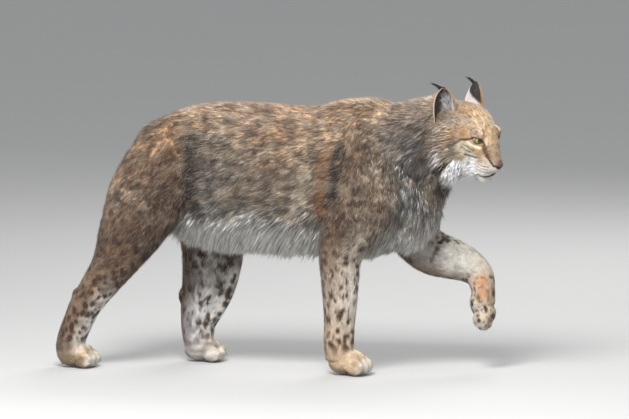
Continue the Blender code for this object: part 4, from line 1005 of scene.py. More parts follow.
def body_colour(points):
    """The body's markings: patches, each leg's own coat, clouding, dark spots and bars, and the black tail tip, with
    painted shade along the coat's folds and, in part, low on the trunk, on the arm and thigh and on the neck.
    """
    half = np.stack([points[:, 0], np.abs(points[:, 1]), points[:, 2]], 1)
    _, nearest, soft = find_bones(points)
    share = {name: soft[:, k] for k, name in enumerate(NAMES)}
    legs = np.zeros(len(points))
    colour = np.zeros((len(points), 3))
    for k, name in enumerate(NAMES):
        if "leg" in name or "paw" in name:
            there = soft[:, k] > 0.003
            colour[there] += soft[there, k : k + 1] * leg_colour(points[there], name, nearest[there, k])
            legs += soft[:, k]
    chest = chest_share(points)
    high = np.maximum(step_between(0.35, 0.42, points[:, 2]) * 0.75, chest)
    colour = colour + (1.0 - legs)[:, None] * blend_patches(half, COAT_PATCHES)
    colour = colour + (blend_patches(half, COAT_PATCHES) - colour) * (high * legs)[:, None]
    z = points[:, 2]
    fore = share["foreleg_right"] + share["foreleg_left"] + share["forepaw_right"] + share["forepaw_left"]
    hind = legs - fore
    fore = fore * (1.0 - chest)
    trunk = share["trunk"]
    cloud = smooth_noise(points, 0.026, 1) * 0.45 + smooth_noise(points * (0.7, 1.0, 1.0), 0.0095, 2) * 0.55
    white = step_between(0.375, 0.340, z) * (1.0 - legs)
    cloud = 1.0 + (cloud - 0.5) * (1.15 - 0.55 * white - 0.5 * fore * step_between(0.36, 0.30, z))
    colour = colour * cloud[:, None] ** 1.4
    pepper = smooth_noise(points, 0.0052, 7) * 0.6 + smooth_noise(points, 0.0030, 8) * 0.4 - 0.5
    plain = np.maximum(white, legs * step_between(0.40, 0.33, z))
    colour = colour * np.exp(pepper * (3.3 - 2.6 * plain))[:, None]
    grey = colour.mean(1, keepdims=True)
    colour = grey + (colour - grey) * 0.86
    # Partly the coat's own tone and partly painted shade: darker low on the trunk and lighter higher up, darker on the
    # arm and thigh, bluer on the neck.
    tone_and_shade = np.array(COAT_TONES_AND_SHADE["low"]) + np.outer(step_between(0.46, 0.60, z), COAT_TONES_AND_SHADE["rise"])
    for name, amount in (("neck", share["neck"]), ("arm", fore), ("thigh", hind)):
        tone_and_shade = tone_and_shade + (np.array(COAT_TONES_AND_SHADE[name]) - tone_and_shade) * amount[:, None]
    tone_and_shade = tone_and_shade + (np.array(COAT_TONES_AND_SHADE["pale"]) - tone_and_shade) * plain[:, None]
    colour = colour * tone_and_shade
    salt = spots(points * (0.8, 1.0, 1.0), 0.0090, 0.0031, 0.62, 11) * (1.0 - plain) * (1.0 - 0.6 * hind)
    colour = colour + (srgb(226, 210, 190) - colour) * (0.46 * salt)[:, None]
    dots = spots(points * (0.8, 1.0, 1.0), 0.0086, 0.0033, 0.70, 12) * (1.0 - plain)
    colour = colour * (1.0 - 0.64 * dots)[:, None]
    furred = (1.0 - white) * (1.0 - fore * step_between(0.40, 0.34, z)) * step_between(0.10, 0.22, z)
    brown = step_between(0.50, 0.66, smooth_noise(points * (0.8, 1.0, 1.2), 0.021, 5)) * furred
    cream = step_between(0.52, 0.72, smooth_noise(points * (0.8, 1.0, 1.2), 0.017, 6)) * furred
    cream = cream * (1.0 - 0.7 * hind) * (1.0 - 0.5 * share["neck"]) * (1.0 - 0.6 * fore)
    colour = colour + (srgb(78, 54, 38) - colour) * (0.52 * brown)[:, None]
    colour = colour + (srgb(214, 194, 168) - colour) * (0.42 * cream)[:, None]
    fold_shade = np.zeros(len(points))
    stride = half - np.outer(step_between(0.0, 0.02, points[:, 1]), (LEFT_STRIDE, 0.0, 0.0))
    for line, width in FOLD_SHADE_LINES:
        fold_shade = np.maximum(fold_shade, near_line(stride, line, width))
    # Painted shade along the folds of the coat.
    colour = colour * (1.0 - 0.76 * fold_shade)[:, None]
    band = near_line(stride, ARM_BAND, 0.017) * (1.0 - fold_shade)
    colour = colour + (srgb(156, 104, 58) * cloud[:, None] - colour) * (0.62 * band)[:, None]
    warp = points + 0.006 * np.stack([smooth_noise(points, 0.011, 80 + k) - 0.5 for k in range(3)], 1)
    flank = spots(warp, 0.028, 0.0088, 0.62, 10) * (trunk + 0.5 * share["neck"]) * step_between(0.36, 0.40, z)
    flank = flank * step_between(0.66, 0.58, z)
    lower = step_between(0.37, 0.31, z)
    leg = spots(warp * (1.0, 1.0, 0.80), 0.0155, 0.0078, 0.92, 20)
    fine = spots(warp, 0.0105, 0.0034, 0.60, 24) * lower
    fore_dark = np.maximum(leg, 0.8 * fine) * fore * (0.58 + 0.40 * lower) * step_between(0.045, 0.075, z)
    hind_dark = np.maximum(leg * (1.0 - 0.45 * step_between(0.30, 0.42, z)), 0.7 * fine) * hind * 0.95 * step_between(0.03, 0.08, z)
    neck = spots(warp, 0.034, 0.012, 0.55, 30) * share["neck"] * 0.38 * step_between(0.46, 0.52, z)
    belly = spots(warp * (1.0, 1.0, 0.35), 0.030, 0.006, 0.40, 60) * white * 0.6
    dark = np.maximum.reduce([0.72 * flank, fore_dark, hind_dark, neck, belly])
    bars = np.zeros(len(points))
    for line, width in LEG_BARS:
        bars = np.maximum(bars, near_line(half, line, width))
    lifted = points[:, 0] > 0.15
    dark = np.maximum(dark * (1.0 - 0.8 * lifted * (z < 0.31) * (z > 0.235) * fore), 0.92 * bars * lifted)
    warm = srgb(70, 44, 30) * (1.0 - 0.35 * hind[:, None])
    colour = colour * (1.0 - dark[:, None]) + warm * dark[:, None]
    for place, reach in WRIST_PATCHES:
        near = np.exp(-((np.linalg.norm(half - np.array(place), axis=1) / reach) ** 2)) * 0.85 * (z < 0.3)
        colour = colour + (srgb(206, 142, 84) - colour) * near[:, None]
    tip = share["tail"] * step_between(0.455, 0.440, z)
    return colour * (1.0 - tip[:, None]) + srgb(24, 20, 18) * tip[:, None]


def head_share(points):
    """One on the head, falling to none across the nape and the throat."""
    x, y, z = to_head(points).T
    away = np.hypot(y / 0.086, (z - 0.003) / 0.106)
    return step_between(-0.078, -0.040, x) * step_between(1.10, 0.95, away)


def coat_colour(points):
    """The colour of the coat anywhere: the body's markings with their painted shade, and the head's markings, blended
    where they meet.
    """
    colour = np.zeros((len(points), 3))
    share = head_share(points)
    body, head = share < 1.0, share > 0.0
    colour[body] += body_colour(points[body]) * (1.0 - share[body])[:, None]
    colour[head] += head_colour(to_head(points[head])) * share[head][:, None]
    return colour


# Tufts.


def scatter(verts, tris, normals, count, rng, density=None):
    """Roots spread over the triangles by area times density, with their normals, one per equal share."""
    a, b, c = (verts[tris[:, k]] for k in range(3))
    area = np.linalg.norm(np.cross(b - a, c - a), axis=1)
    if density is not None:
        area = area * density
    total = np.cumsum(area)
    pick = np.searchsorted(total, (np.arange(count) + rng.random(count)) / count * total[-1])
    pick = np.minimum(pick, len(tris) - 1)
    u, v = rng.random(count), rng.random(count)
    flip = u + v > 1.0
    u, v = np.where(flip, 1.0 - u, u)[:, None], np.where(flip, 1.0 - v, v)[:, None]
    near = [tris[pick, k] for k in range(3)]
    points = verts[near[0]] * (1 - u - v) + verts[near[1]] * u + verts[near[2]] * v
    normal = normals[near[0]] * (1 - u - v) + normals[near[1]] * u + normals[near[2]] * v
    return points, unit(normal)


def tuft_arrays(roots, way, face, length, width, bend, pull, rings, sink, rng):
    """Tapered blades of three sides: the middle line is root + length * (t * way + bend * t^2 * pull).

    Each ring is a flat triangle, its edge along way x face and its ridge along the face, and all meet in a tip.
    """
    count = len(roots)
    steps = np.linspace(0.0, 1.0, rings + 1)[:-1]
    side = unit(np.cross(way, face))
    turn = rng.uniform(-0.6, 0.6, count)[:, None]
    side = unit(side * np.cos(turn) + np.cross(way, side) * np.sin(turn))
    ridge = np.cross(side, way)
    start = roots - face * sink[:, None]
    if rings == 1:
        bend = bend * 0.0
    verts = np.empty((count, rings * 3 + 1, 3))
    for k, t in enumerate(steps):
        middle = start + (way * t + pull * (bend[:, None] * t * t)) * length[:, None]
        half = (width * (0.75 + 0.9 * t - 1.35 * t * t))[:, None] * 0.5
        verts[:, 3 * k] = middle + side * half
        verts[:, 3 * k + 1] = middle - side * half
        verts[:, 3 * k + 2] = middle + ridge * half * 0.7
    verts[:, -1] = start + (way + pull * bend[:, None]) * length[:, None]
    faces = [(0, 1, 2)]
    for k in range(rings - 1):
        low, high = 3 * k, 3 * k + 3
        for i in range(3):
            j = (i + 1) % 3
            faces += [(low + i, high + i, high + j), (low + i, high + j, low + j)]
    top = 3 * (rings - 1)
    faces += [(top + i, 3 * rings, top + (i + 1) % 3) for i in range(3)]
    faces = np.array(faces)
    index = faces[None] + (np.arange(count) * (rings * 3 + 1))[:, None, None]
    along = np.concatenate([np.repeat(steps, 3), [1.0]])
    return verts, index.reshape(-1, 3), faces, along


PATCH = 0.0030
# How far along a tuft the place lies whose colour it takes.
TUFT_SEEN = 0.70


def grow_coat(name, roots, way, face, length, width, bend, pull, colour, unwrap, material, slot, rng, rings=2, **looks):
    """One piece of coat: tufts at the roots, coloured from root to tip, each on its own patch of the unwrap."""
    sink = looks.get("sink", 0.0012) + 0 * length
    verts, index, faces, along = tuft_arrays(roots, way, face, length, width, bend, pull, rings, sink, rng)
    each = verts.shape[1]
    coat = make_object(name, verts.reshape(-1, 3), index)
    low = looks.get("root", 0.62) + 0.26 * step_between(0.25, 0.50, colour.mean(1))[:, None]
    shade = low + (1.0 - low) * np.minimum(along * 2.2, 1.0)
    light = np.exp(rng.normal(0.0, looks.get("vary", 0.13), len(roots)))[:, None, None]
    tinted = colour[:, None, :] * shade[:, :, None] * light
    kind = rng.random(len(roots))
    tick, frost = looks.get("tick", 0.0), looks.get("frost", 0.0)
    dark = (kind < tick)[:, None, None] * step_between(0.0, 0.5, along)[None, :, None]
    tinted = tinted * (1.0 - 0.70 * dark) + srgb(44, 30, 22) * 0.30 * dark
    pale = (kind > 1.0 - frost)[:, None, None] * step_between(0.2, 0.8, along)[None, :, None]
    tinted = tinted + (srgb(238, 222, 202) - tinted) * pale * 0.55
    paint_points(coat, "coat", np.clip(tinted, 0.0, 1.0).reshape(-1, 3))
    u, v = unwrap
    low = np.array((u.min(), v.min()))
    wide = np.maximum(np.array((np.ptp(u), np.ptp(v))), 1e-6)
    place = 0.01 + 0.975 * (np.stack([u, v], 1) - low) / wide
    across = np.tile((0.0, 1.0, 0.5), len(along) // 3 + 1)[: len(along)]
    across[-1] = 0.5
    corner = np.stack([across, along], 1)
    uv = place[:, None, :] + corner[None] * PATCH
    layer = coat.data.uv_layers.new(name="OFBake")
    loops = np.empty(len(coat.data.loops), np.int32)
    coat.data.loops.foreach_get("vertex_index", loops)
    layer.data.foreach_set("uv", uv.reshape(-1, 2)[loops].astype(np.float32).ravel())
    coat.data.materials.append(material)
    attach(coat, "root")
    return coat


def seen_place(roots, way, normals, length):
    """The place on the skin that a tuft's tip covers, whose colour it takes."""
    flat = way - normals * np.sum(way * normals, 1, keepdims=True)
    return roots + flat * (length * TUFT_SEEN)[:, None]


def lean(way, normals, lift, hang, rng, spread):
    """The way a tuft leaves the skin: along the skin, lifted, scattered a little, and turned to hang."""
    flat = unit(way - normals * np.sum(way * normals, 1, keepdims=True))
    sideways = np.cross(normals, flat)
    stray = rng.normal(0.0, spread, len(way))[:, None]
    lift = (lift * np.exp(rng.normal(0.0, 0.22, len(way))))[:, None]
    out = (flat * np.cos(stray) + sideways * np.sin(stray)) * np.cos(lift) + normals * np.sin(lift)
    return unit(out * (1.0 - hang[:, None]) + way * hang[:, None])


# Materials.


def new_material(name, roughness, sheen=0.0):
    """A Principled material with its two even finishes set on its own sockets."""
    made = bpy.data.materials.new(name)
    made.use_nodes = True
    shader = made.node_tree.nodes["Principled BSDF"]
    shader.inputs["Roughness"].default_value = roughness
    shader.inputs["Sheen Weight"].default_value = sheen
    return made, made.node_tree, shader


def add_node(tree, kind, **values):
    """A shader node with some of its properties set."""
    node = tree.nodes.new(kind)
    for key, value in values.items():
        setattr(node, key, value)
    return node


def coat_material(name, roughness, fine):
    """Fur: the stored markings with their painted shade, with streaks of fine noise in colour and roughness."""
    made, tree, shader = new_material(name, roughness, 0.10)
    shader.inputs["Sheen Roughness"].default_value = 0.5
    shader.inputs["Specular IOR Level"].default_value = 0.25
    markings = add_node(tree, "ShaderNodeAttribute", attribute_name="coat")
    place = add_node(tree, "ShaderNodeTexCoord")
    grain = add_node(tree, "ShaderNodeTexNoise")
    grain.inputs["Scale"].default_value = fine
    grain.inputs["Detail"].default_value = 2.0
    tree.links.new(place.outputs["Object"], grain.inputs["Vector"])
    level = add_node(tree, "ShaderNodeMapRange")
    level.inputs["To Min"].default_value = 0.80
    level.inputs["To Max"].default_value = 1.20
    tree.links.new(grain.outputs["Fac"], level.inputs["Value"])
    mix = add_node(tree, "ShaderNodeVectorMath", operation="SCALE")
    tree.links.new(markings.outputs["Color"], mix.inputs[0])
    tree.links.new(level.outputs["Result"], mix.inputs["Scale"])
    tree.links.new(mix.outputs["Vector"], shader.inputs["Base Color"])
    rough = add_node(tree, "ShaderNodeMapRange")
    rough.inputs["To Min"].default_value = roughness - 0.10
    rough.inputs["To Max"].default_value = roughness + 0.08
    tree.links.new(grain.outputs["Fac"], rough.inputs["Value"])
    tree.links.new(rough.outputs["Result"], shader.inputs["Roughness"])
    return made


def bare_material(name, colour, roughness, scale, bump, dark=0.6):
    """Bare skin: a pebbled bump and patches of darker tone."""
    made, tree, shader = new_material(name, roughness)
    place = add_node(tree, "ShaderNodeTexCoord")
    pebbles = add_node(tree, "ShaderNodeTexVoronoi")
    pebbles.inputs["Scale"].default_value = scale
    tree.links.new(place.outputs["Object"], pebbles.inputs["Vector"])
    tone = add_node(tree, "ShaderNodeTexNoise")
    tone.inputs["Scale"].default_value = scale / 6.0
    tree.links.new(place.outputs["Object"], tone.inputs["Vector"])
    ramp = add_node(tree, "ShaderNodeValToRGB")
    ramp.color_ramp.elements[0].color = (*(np.array(colour) * dark), 1.0)
    ramp.color_ramp.elements[0].position = 0.35
    ramp.color_ramp.elements[1].color = (*colour, 1.0)
    ramp.color_ramp.elements[1].position = 0.65
    tree.links.new(tone.outputs["Fac"], ramp.inputs["Fac"])
    tree.links.new(ramp.outputs["Color"], shader.inputs["Base Color"])
    raised = add_node(tree, "ShaderNodeBump")
    raised.inputs["Strength"].default_value = bump
    raised.inputs["Distance"].default_value = 0.0006
    tree.links.new(pebbles.outputs["Distance"], raised.inputs["Height"])
    tree.links.new(raised.outputs["Normal"], shader.inputs["Normal"])
    return made


def eye_material(side):
    """The eye: pupil, amber iris with fine spokes, dark rim and white, by the angle from the eye's aim."""
    made, tree, shader = new_material("eye_" + ("left" if side == LEFT else "right"), 0.08)
    shader.inputs["Coat Weight"].default_value = 1.0
    shader.inputs["Coat Roughness"].default_value = 0.03
    middle = from_head(mirrored(EYE_PLACE, side)[None])[0] + SHIFT
    ahead = HEAD[:3, :3] @ unit(mirrored(EYE_GAZE, side))
    place = add_node(tree, "ShaderNodeTexCoord")
    away = add_node(tree, "ShaderNodeVectorMath", operation="SUBTRACT")
    away.inputs[1].default_value = middle
    tree.links.new(place.outputs["Object"], away.inputs[0])
    flat = add_node(tree, "ShaderNodeVectorMath", operation="NORMALIZE")
    tree.links.new(away.outputs["Vector"], flat.inputs[0])
    facing = add_node(tree, "ShaderNodeVectorMath", operation="DOT_PRODUCT")
    facing.inputs[1].default_value = ahead
    tree.links.new(flat.outputs["Vector"], facing.inputs[0])
    ramp = add_node(tree, "ShaderNodeValToRGB")
    stops = (
        (0.0, srgb(150, 130, 110)),
        (0.55, srgb(110, 90, 74)),
        (0.66, srgb(24, 18, 13)),
        (0.71, srgb(84, 72, 30)),
        (0.80, srgb(132, 116, 56)),
        (0.918, srgb(158, 140, 72)),
        (0.935, srgb(12, 9, 7)),
        (1.0, srgb(5, 5, 5)),
    )
    parts = ramp.color_ramp.elements
    while len(parts) < len(stops):
        parts.new(0.5)
    for part, (spot, colour) in zip(parts, stops):
        part.position = spot
        part.color = (*colour, 1.0)
    tree.links.new(facing.outputs["Value"], ramp.inputs["Fac"])
    spokes = add_node(tree, "ShaderNodeTexNoise")
    spokes.inputs["Scale"].default_value = 900.0
    tree.links.new(place.outputs["Object"], spokes.inputs["Vector"])
    level = add_node(tree, "ShaderNodeMapRange")
    level.inputs["To Min"].default_value = 0.7
    level.inputs["To Max"].default_value = 1.3
    tree.links.new(spokes.outputs["Fac"], level.inputs["Value"])
    mix = add_node(tree, "ShaderNodeVectorMath", operation="SCALE")
    tree.links.new(ramp.outputs["Color"], mix.inputs[0])
    tree.links.new(level.outputs["Result"], mix.inputs["Scale"])
    tree.links.new(mix.outputs["Vector"], shader.inputs["Base Color"])
    return made


# The head's pieces.


def line_tube(points, radii, sides=8):
    """A closed round tube carried along points, its rings square to the line."""
    points = np.asarray(points, float)
    run = unit(np.gradient(points, axis=0))
    side = unit(np.cross(run, (0.13, 0.21, 0.97)))
    across = np.cross(run, side)
    turn = np.linspace(0.0, math.tau, sides, endpoint=False)
    ring = side[:, None] * np.cos(turn)[None, :, None] + across[:, None] * np.sin(turn)[None, :, None]
    return closed_grid(points[:, None] + ring * np.asarray(radii, float)[:, None, None])


def ring_tube(points, radii, out, sides=8):
    """A closed loop of tube: rings of cosine along out and sine along the aim, joined end to end."""
    run = unit(np.roll(points, -1, axis=0) - np.roll(points, 1, axis=0))
    across = unit(np.cross(run, out))
    turn = np.linspace(0.0, math.tau, sides, endpoint=False)
    ring = out[:, None] * np.cos(turn)[None, :, None] + across[:, None] * np.sin(turn)[None, :, None]
    grid = points[:, None] + ring * np.asarray(radii)[:, None, None]
    rows = len(points)
    index = np.arange(rows * sides).reshape(rows, sides)
    a, b = index, np.roll(index, -1, axis=1)
    c, d = np.roll(np.roll(index, -1, axis=0), -1, axis=1), np.roll(index, -1, axis=0)
    faces = np.stack([a, b, c, d], -1).reshape(-1, 4)
    return grid.reshape(-1, 3), faces


def turn_out(obj):
    """Makes the object's faces point outwards."""
    bm = bmesh.new()
    bm.from_mesh(obj.data)
    bmesh.ops.recalc_face_normals(bm, faces=bm.faces)
    bm.to_mesh(obj.data)
    bm.free()


def ray_to_skin(skin, start, way):
    """Where a ray from outside first meets the skin, in the animal's frame."""
    found, hit, _, _ = skin.ray_cast(Vector(start + SHIFT), Vector(way))
    return np.array(hit) - SHIFT if found else None


def ear_frame(side):
    """The ear's foot, the way up, the way it opens and the way across, in the head's frame."""
    up = unit(mirrored(EAR_UP, side))
    opens = np.array(EAR_OPENS[side])
    opens = unit(opens - up * (opens @ up))
    return mirrored(EAR_FOOT, side), up, opens, np.cross(up, opens)


def ear_points(side, s, t, out=0.0):
    """The ear's cup: up by t, round by s from -1 to 1, half width (1 - t^EAR_TAPER)^0.75, depth closing as t^1.8."""
    foot, up, opens, wide = ear_frame(side)
    t = np.clip(t, 0.0, 1.0)
    half = EAR_HALF_WIDTH * (1.0 - t**EAR_TAPER) ** 0.75 + EAR_TIP + out
    deep = EAR_DEPTH * (1.0 - t**1.8) + EAR_TIP * 0.6 + out
    turn = np.radians(EAR_CURL * (1.0 - 0.25 * t)) * s
    place = foot + up * (EAR_HEIGHT * t)[..., None] + wide * (half * np.sin(turn))[..., None]
    return place - opens * (deep * np.cos(turn) + EAR_LEAN * t * t)[..., None]


def ear_back_colour(side, s, t):
    """Tan below, then a pale patch, and black above that reaches lowest towards the face; cream and tan rims."""
    front = s * EAR_FRONT[side]
    black = step_between(0.0, 0.10, t - 0.50 + 0.30 * np.clip(front, -1.0, 1.0))
    pale = step_between(0.20, 0.32, t) * (1.0 - black)
    back = step_between(0.95, 0.75, np.abs(s))
    colour = srgb(176, 130, 88) * np.ones((len(t), 1))
    colour = colour + (srgb(184, 178, 176) - colour) * (pale * back)[:, None]
    colour = colour + (srgb(30, 24, 22) - colour) * (black * back)[:, None]
    rim = step_between(0.90, 0.97, np.abs(s))
    edge = np.where(front[:, None] > 0, srgb(160, 120, 82), srgb(180, 160, 136))
    return colour + (edge - colour) * rim[:, None]


def ear_inside_colour(side, s, t):
    """Dark inside, paler towards the rims."""
    rim = step_between(0.82, 1.0, np.abs(s))
    return srgb(62, 52, 48) + (srgb(150, 128, 104) - srgb(62, 52, 48)) * rim[:, None]


# Which end of the ear's turn is nearer the face.
EAR_FRONT = {LEFT: -1.0, RIGHT: 1.0}


def build_ear(side):
    """One ear: the cup's outer and inner sheets, a wall apart, closed at the rim and sunk into the head."""
    t, s = np.meshgrid(np.linspace(-0.18, 1.0, 26), np.linspace(-1.0, 1.0, 34), indexing="ij")
    _, up, _, _ = ear_frame(side)
    sunk = (np.minimum(t, 0.0) * EAR_HEIGHT)[..., None] * up
    outer = ear_points(side, s, t, EAR_WALL / 2) + sunk
    inner = ear_points(side, s, t, -EAR_WALL / 2) + sunk
    verts, faces = closed_grid(np.concatenate([outer, inner[:, ::-1]], axis=1))
    ear = make_object("ear_left_skin" if side == LEFT else "ear_right_skin", from_head(verts), faces)
    turn_out(ear)
    flat_s, flat_t = s.ravel(), t.ravel()
    back = ear_back_colour(side, flat_s, flat_t).reshape(*s.shape, 3)
    inside = ear_inside_colour(side, flat_s, flat_t).reshape(*s.shape, 3)[:, ::-1]
    colours = np.concatenate([back, inside], axis=1).reshape(-1, 3)
    # The ear's skin under its fur takes three quarters of these colours, as painted shade.
    paint_points(ear, "coat", np.vstack([colours, colours[:1], colours[-1:]]) * 0.75)
    return ear


def coat_settings():
    """The coat's settings on the scene."""
    return bpy.context.scene.lynx_coat


def scale_count(count):
    """How many tufts to grow: the full count times the density setting."""
    return int(count * coat_settings().density * (1.0))


class LynxCoatSettings(bpy.types.PropertyGroup):
    """Sizes of the coat."""

    density: FloatProperty(name="Density", description="Share of the full number of tufts", default=1.0, min=0.05, max=1.5)
    length: FloatProperty(name="Length", description="Hair length as a share of the usual", default=1.0, min=0.3, max=1.6)
    width: FloatProperty(
        name="Tuft width", description="Widest place of a body tuft", default=0.0019, min=0.0008, max=0.008, unit="LENGTH"
    )
    seed: IntProperty(name="Seed", description="Seed of the coat's scatter", default=5, min=0)


class LynxFaceSettings(bpy.types.PropertyGroup):
    """Sizes and colours of the face."""

    whisker: FloatProperty(
        name="Whisker length", description="Length of the longest whisker", default=0.075, min=0.02, max=0.12, unit="LENGTH"
    )
    nose: FloatVectorProperty(
        name="Nose", description="Colour of the nose pad", subtype="COLOR", default=tuple(srgb(92, 64, 58)), min=0, max=1
    )
    rim: FloatVectorProperty(
        name="Rims", description="Colour of lids and lips", subtype="COLOR", default=tuple(srgb(26, 20, 18)), min=0, max=1
    )


class LynxStageSettings(bpy.types.PropertyGroup):
    """The studio."""

    floor: FloatVectorProperty(
        name="Floor", description="Colour of the floor", subtype="COLOR", default=(0.36, 0.356, 0.35), min=0, max=1
    )
    light: FloatProperty(name="Light", description="Strength of the key light", default=1.0, min=0.0, max=5.0)


class LYNX_OT_skin(bpy.types.Operator):
    """Builds the one skin under the coat"""

    bl_idname = "lynx.skin"
    bl_label = "Skin"

    def execute(self, context):
        skin = build_body_skin()
        head = build_head_skin()
        cut_slits(head)
        union_skins(skin, head)
        verts = mesh_arrays(skin)[0]
        paint_points(skin, "coat", coat_colour(verts) * UNDER_SHADE)
        skin.data.materials.clear()
        skin.data.materials.append(coat_material("skin_fur", 0.85, 420.0))
        skin.data.shade_smooth()
        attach(skin, "root")
        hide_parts(*[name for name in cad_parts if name.split("_")[0] in SKIN_WORDS])
        return {"FINISHED"}


SKIN_WORDS = ("torso", "neck", "head", "tail", "foreleg", "hindleg", "forepaw", "hindpaw")


def coat_groups(points):
    """Names the coat piece that each point of the body belongs to."""
    nearness, _, _ = find_bones(points)
    part = np.array(NAMES)[nearness.argmin(1)]
    part = np.char.replace(part.astype("U24"), "paw", "leg")
    side = np.where(points[:, 1] >= 0, "left", "right")
    trunk = part == "trunk"
    where = np.where(points[:, 0] > -0.17, "fore", "hind")
    named = np.char.add(np.char.add(np.char.add("trunk_", where), "_"), side)
    part = np.where(trunk, named, part)
    return np.where(part == "neck", np.char.add("neck_", side), part)


# How many tufts each piece of the body's coat has, and how many of them are long and bent.
COAT_COUNTS = {
    "trunk_fore_left": (23000, 3100),
    "trunk_fore_right": (24000, 3400),
    "trunk_hind_left": (23000, 3100),
    "trunk_hind_right": (24000, 3400),
    "neck_left": (14500, 3900),
    "neck_right": (15500, 4200),
    "tail": (3600, 800),
    "foreleg_right": (20000, 1200),
    "foreleg_left": (19000, 1200),
    "hindleg_right": (21000, 2600),
    "hindleg_left": (18000, 1300),
}


class LYNX_OT_coat(bpy.types.Operator):
    """Grows the body's coat on the skin"""

    bl_idname = "lynx.coat"
    bl_label = "Body coat"

    def execute(self, context):
        settings = coat_settings()
        skin = bpy.data.objects["skin"]
        verts, tris, normals = mesh_arrays(skin)
        centres = verts[tris].mean(1)
        sole = (centres[:, 2] < 0.004) & (normals[tris].mean(1)[:, 2] < -0.5)
        open_skin = (head_share(centres) < 0.75) & ~sole
        groups = coat_groups(centres)
        material = coat_material("coat_fur", 0.72, 240.0)
        for number, (name, counts) in enumerate(COAT_COUNTS.items()):
            rng = np.random.default_rng(settings.seed * 100 + number)
            chosen = (groups == name) & open_skin
            if not chosen.any():
                raise RuntimeError("no skin for the coat piece " + name)
            there = hair_lie(centres[chosen], normals[tris[chosen]].mean(1))[1]
            even = (0.024 / np.maximum(there, 0.006)) ** 0.8
            shaggy = 0.15 + step_between(0.028, 0.045, there)
            parts = [
                self.grow(name, verts, tris[chosen], normals, scale_count(counts[0]), even, 1, rng),
                self.grow(name, verts, tris[chosen], normals, scale_count(counts[1]), shaggy, 2, rng),
            ]
            for rings, part in zip((1, 2), parts):
                kind = "" if rings == 1 else "long_"
                grow_coat(
                    "coat_" + kind + name, *part, self.unwrap(name, part[0]), material,
                    "coat_leg" if "leg" in name else "coat", rng, rings=rings,
                    tick=0.24, frost=0.20 if rings == 1 else 0.05, vary=0.32 if rings == 1 else 0.14, root=0.56,
                )  # fmt: skip
        return {"FINISHED"}

    def grow(self, name, verts, tris, normals, count, density, rings, rng):
        """Where one layer of a piece's tufts stand, how they lie and how they are coloured."""
        settings = coat_settings()
        roots, normal = scatter(verts, tris, normals, count, rng, density)
        way, length, lift, hang = hair_lie(roots, normal)
        length = length * settings.length * rng.uniform(0.72, 1.12, count)
        if rings > 1:
            length = length * 1.05
        out = lean(way, normal, lift, hang, rng, 0.22)
        wide = settings.width * np.clip(length / 0.026, 0.45, 1.2)
        bend = rng.uniform(0.05, 0.22, count)
        pull = unit(way * 0.6 - normal * 0.9 + np.array((0.0, 0.0, -0.4)))
        below = roots[:, 2] + (out[:, 2] + pull[:, 2] * bend) * length < 0.001
        length = np.where(below, length * 0.35, length)
        seen = seen_place(roots, out, normal, length)
        return roots, out, normal, length, wide, bend, pull, coat_colour(seen)

    def unwrap(self, name, roots):
        """Each root's angle round its part's middle line, and its place along that line."""
        bone = name.split("_")[0] if name.startswith(("trunk", "neck")) else name
        middle, _, run, _ = BONES[bone]
        line, way = middle, run
        if "leg" in name:
            paw = BONES[name.replace("leg", "paw")]
            line, way = np.vstack([middle, paw[0][2:]]), np.vstack([run, paw[2][2:]])
        gap = np.linalg.norm(roots[:, None] - line[None], axis=2)
        at = gap.argmin(1)
        reach = np.concatenate([[0.0], np.cumsum(np.linalg.norm(np.diff(line, axis=0), axis=1))])
        along = reach[at] + np.sum((roots - line[at]) * way[at], 1) * (1.0 if bone not in ("trunk", "neck") else -1.0)
        side = unit(np.array((0.0, 1.0, 0.0)) - way[at] * way[at, 1:2])
        up = np.cross(way[at], side)
        away = roots - line[at]
        angle = np.arctan2(np.sum(away * side, 1), np.sum(away * up, 1))
        return angle, along


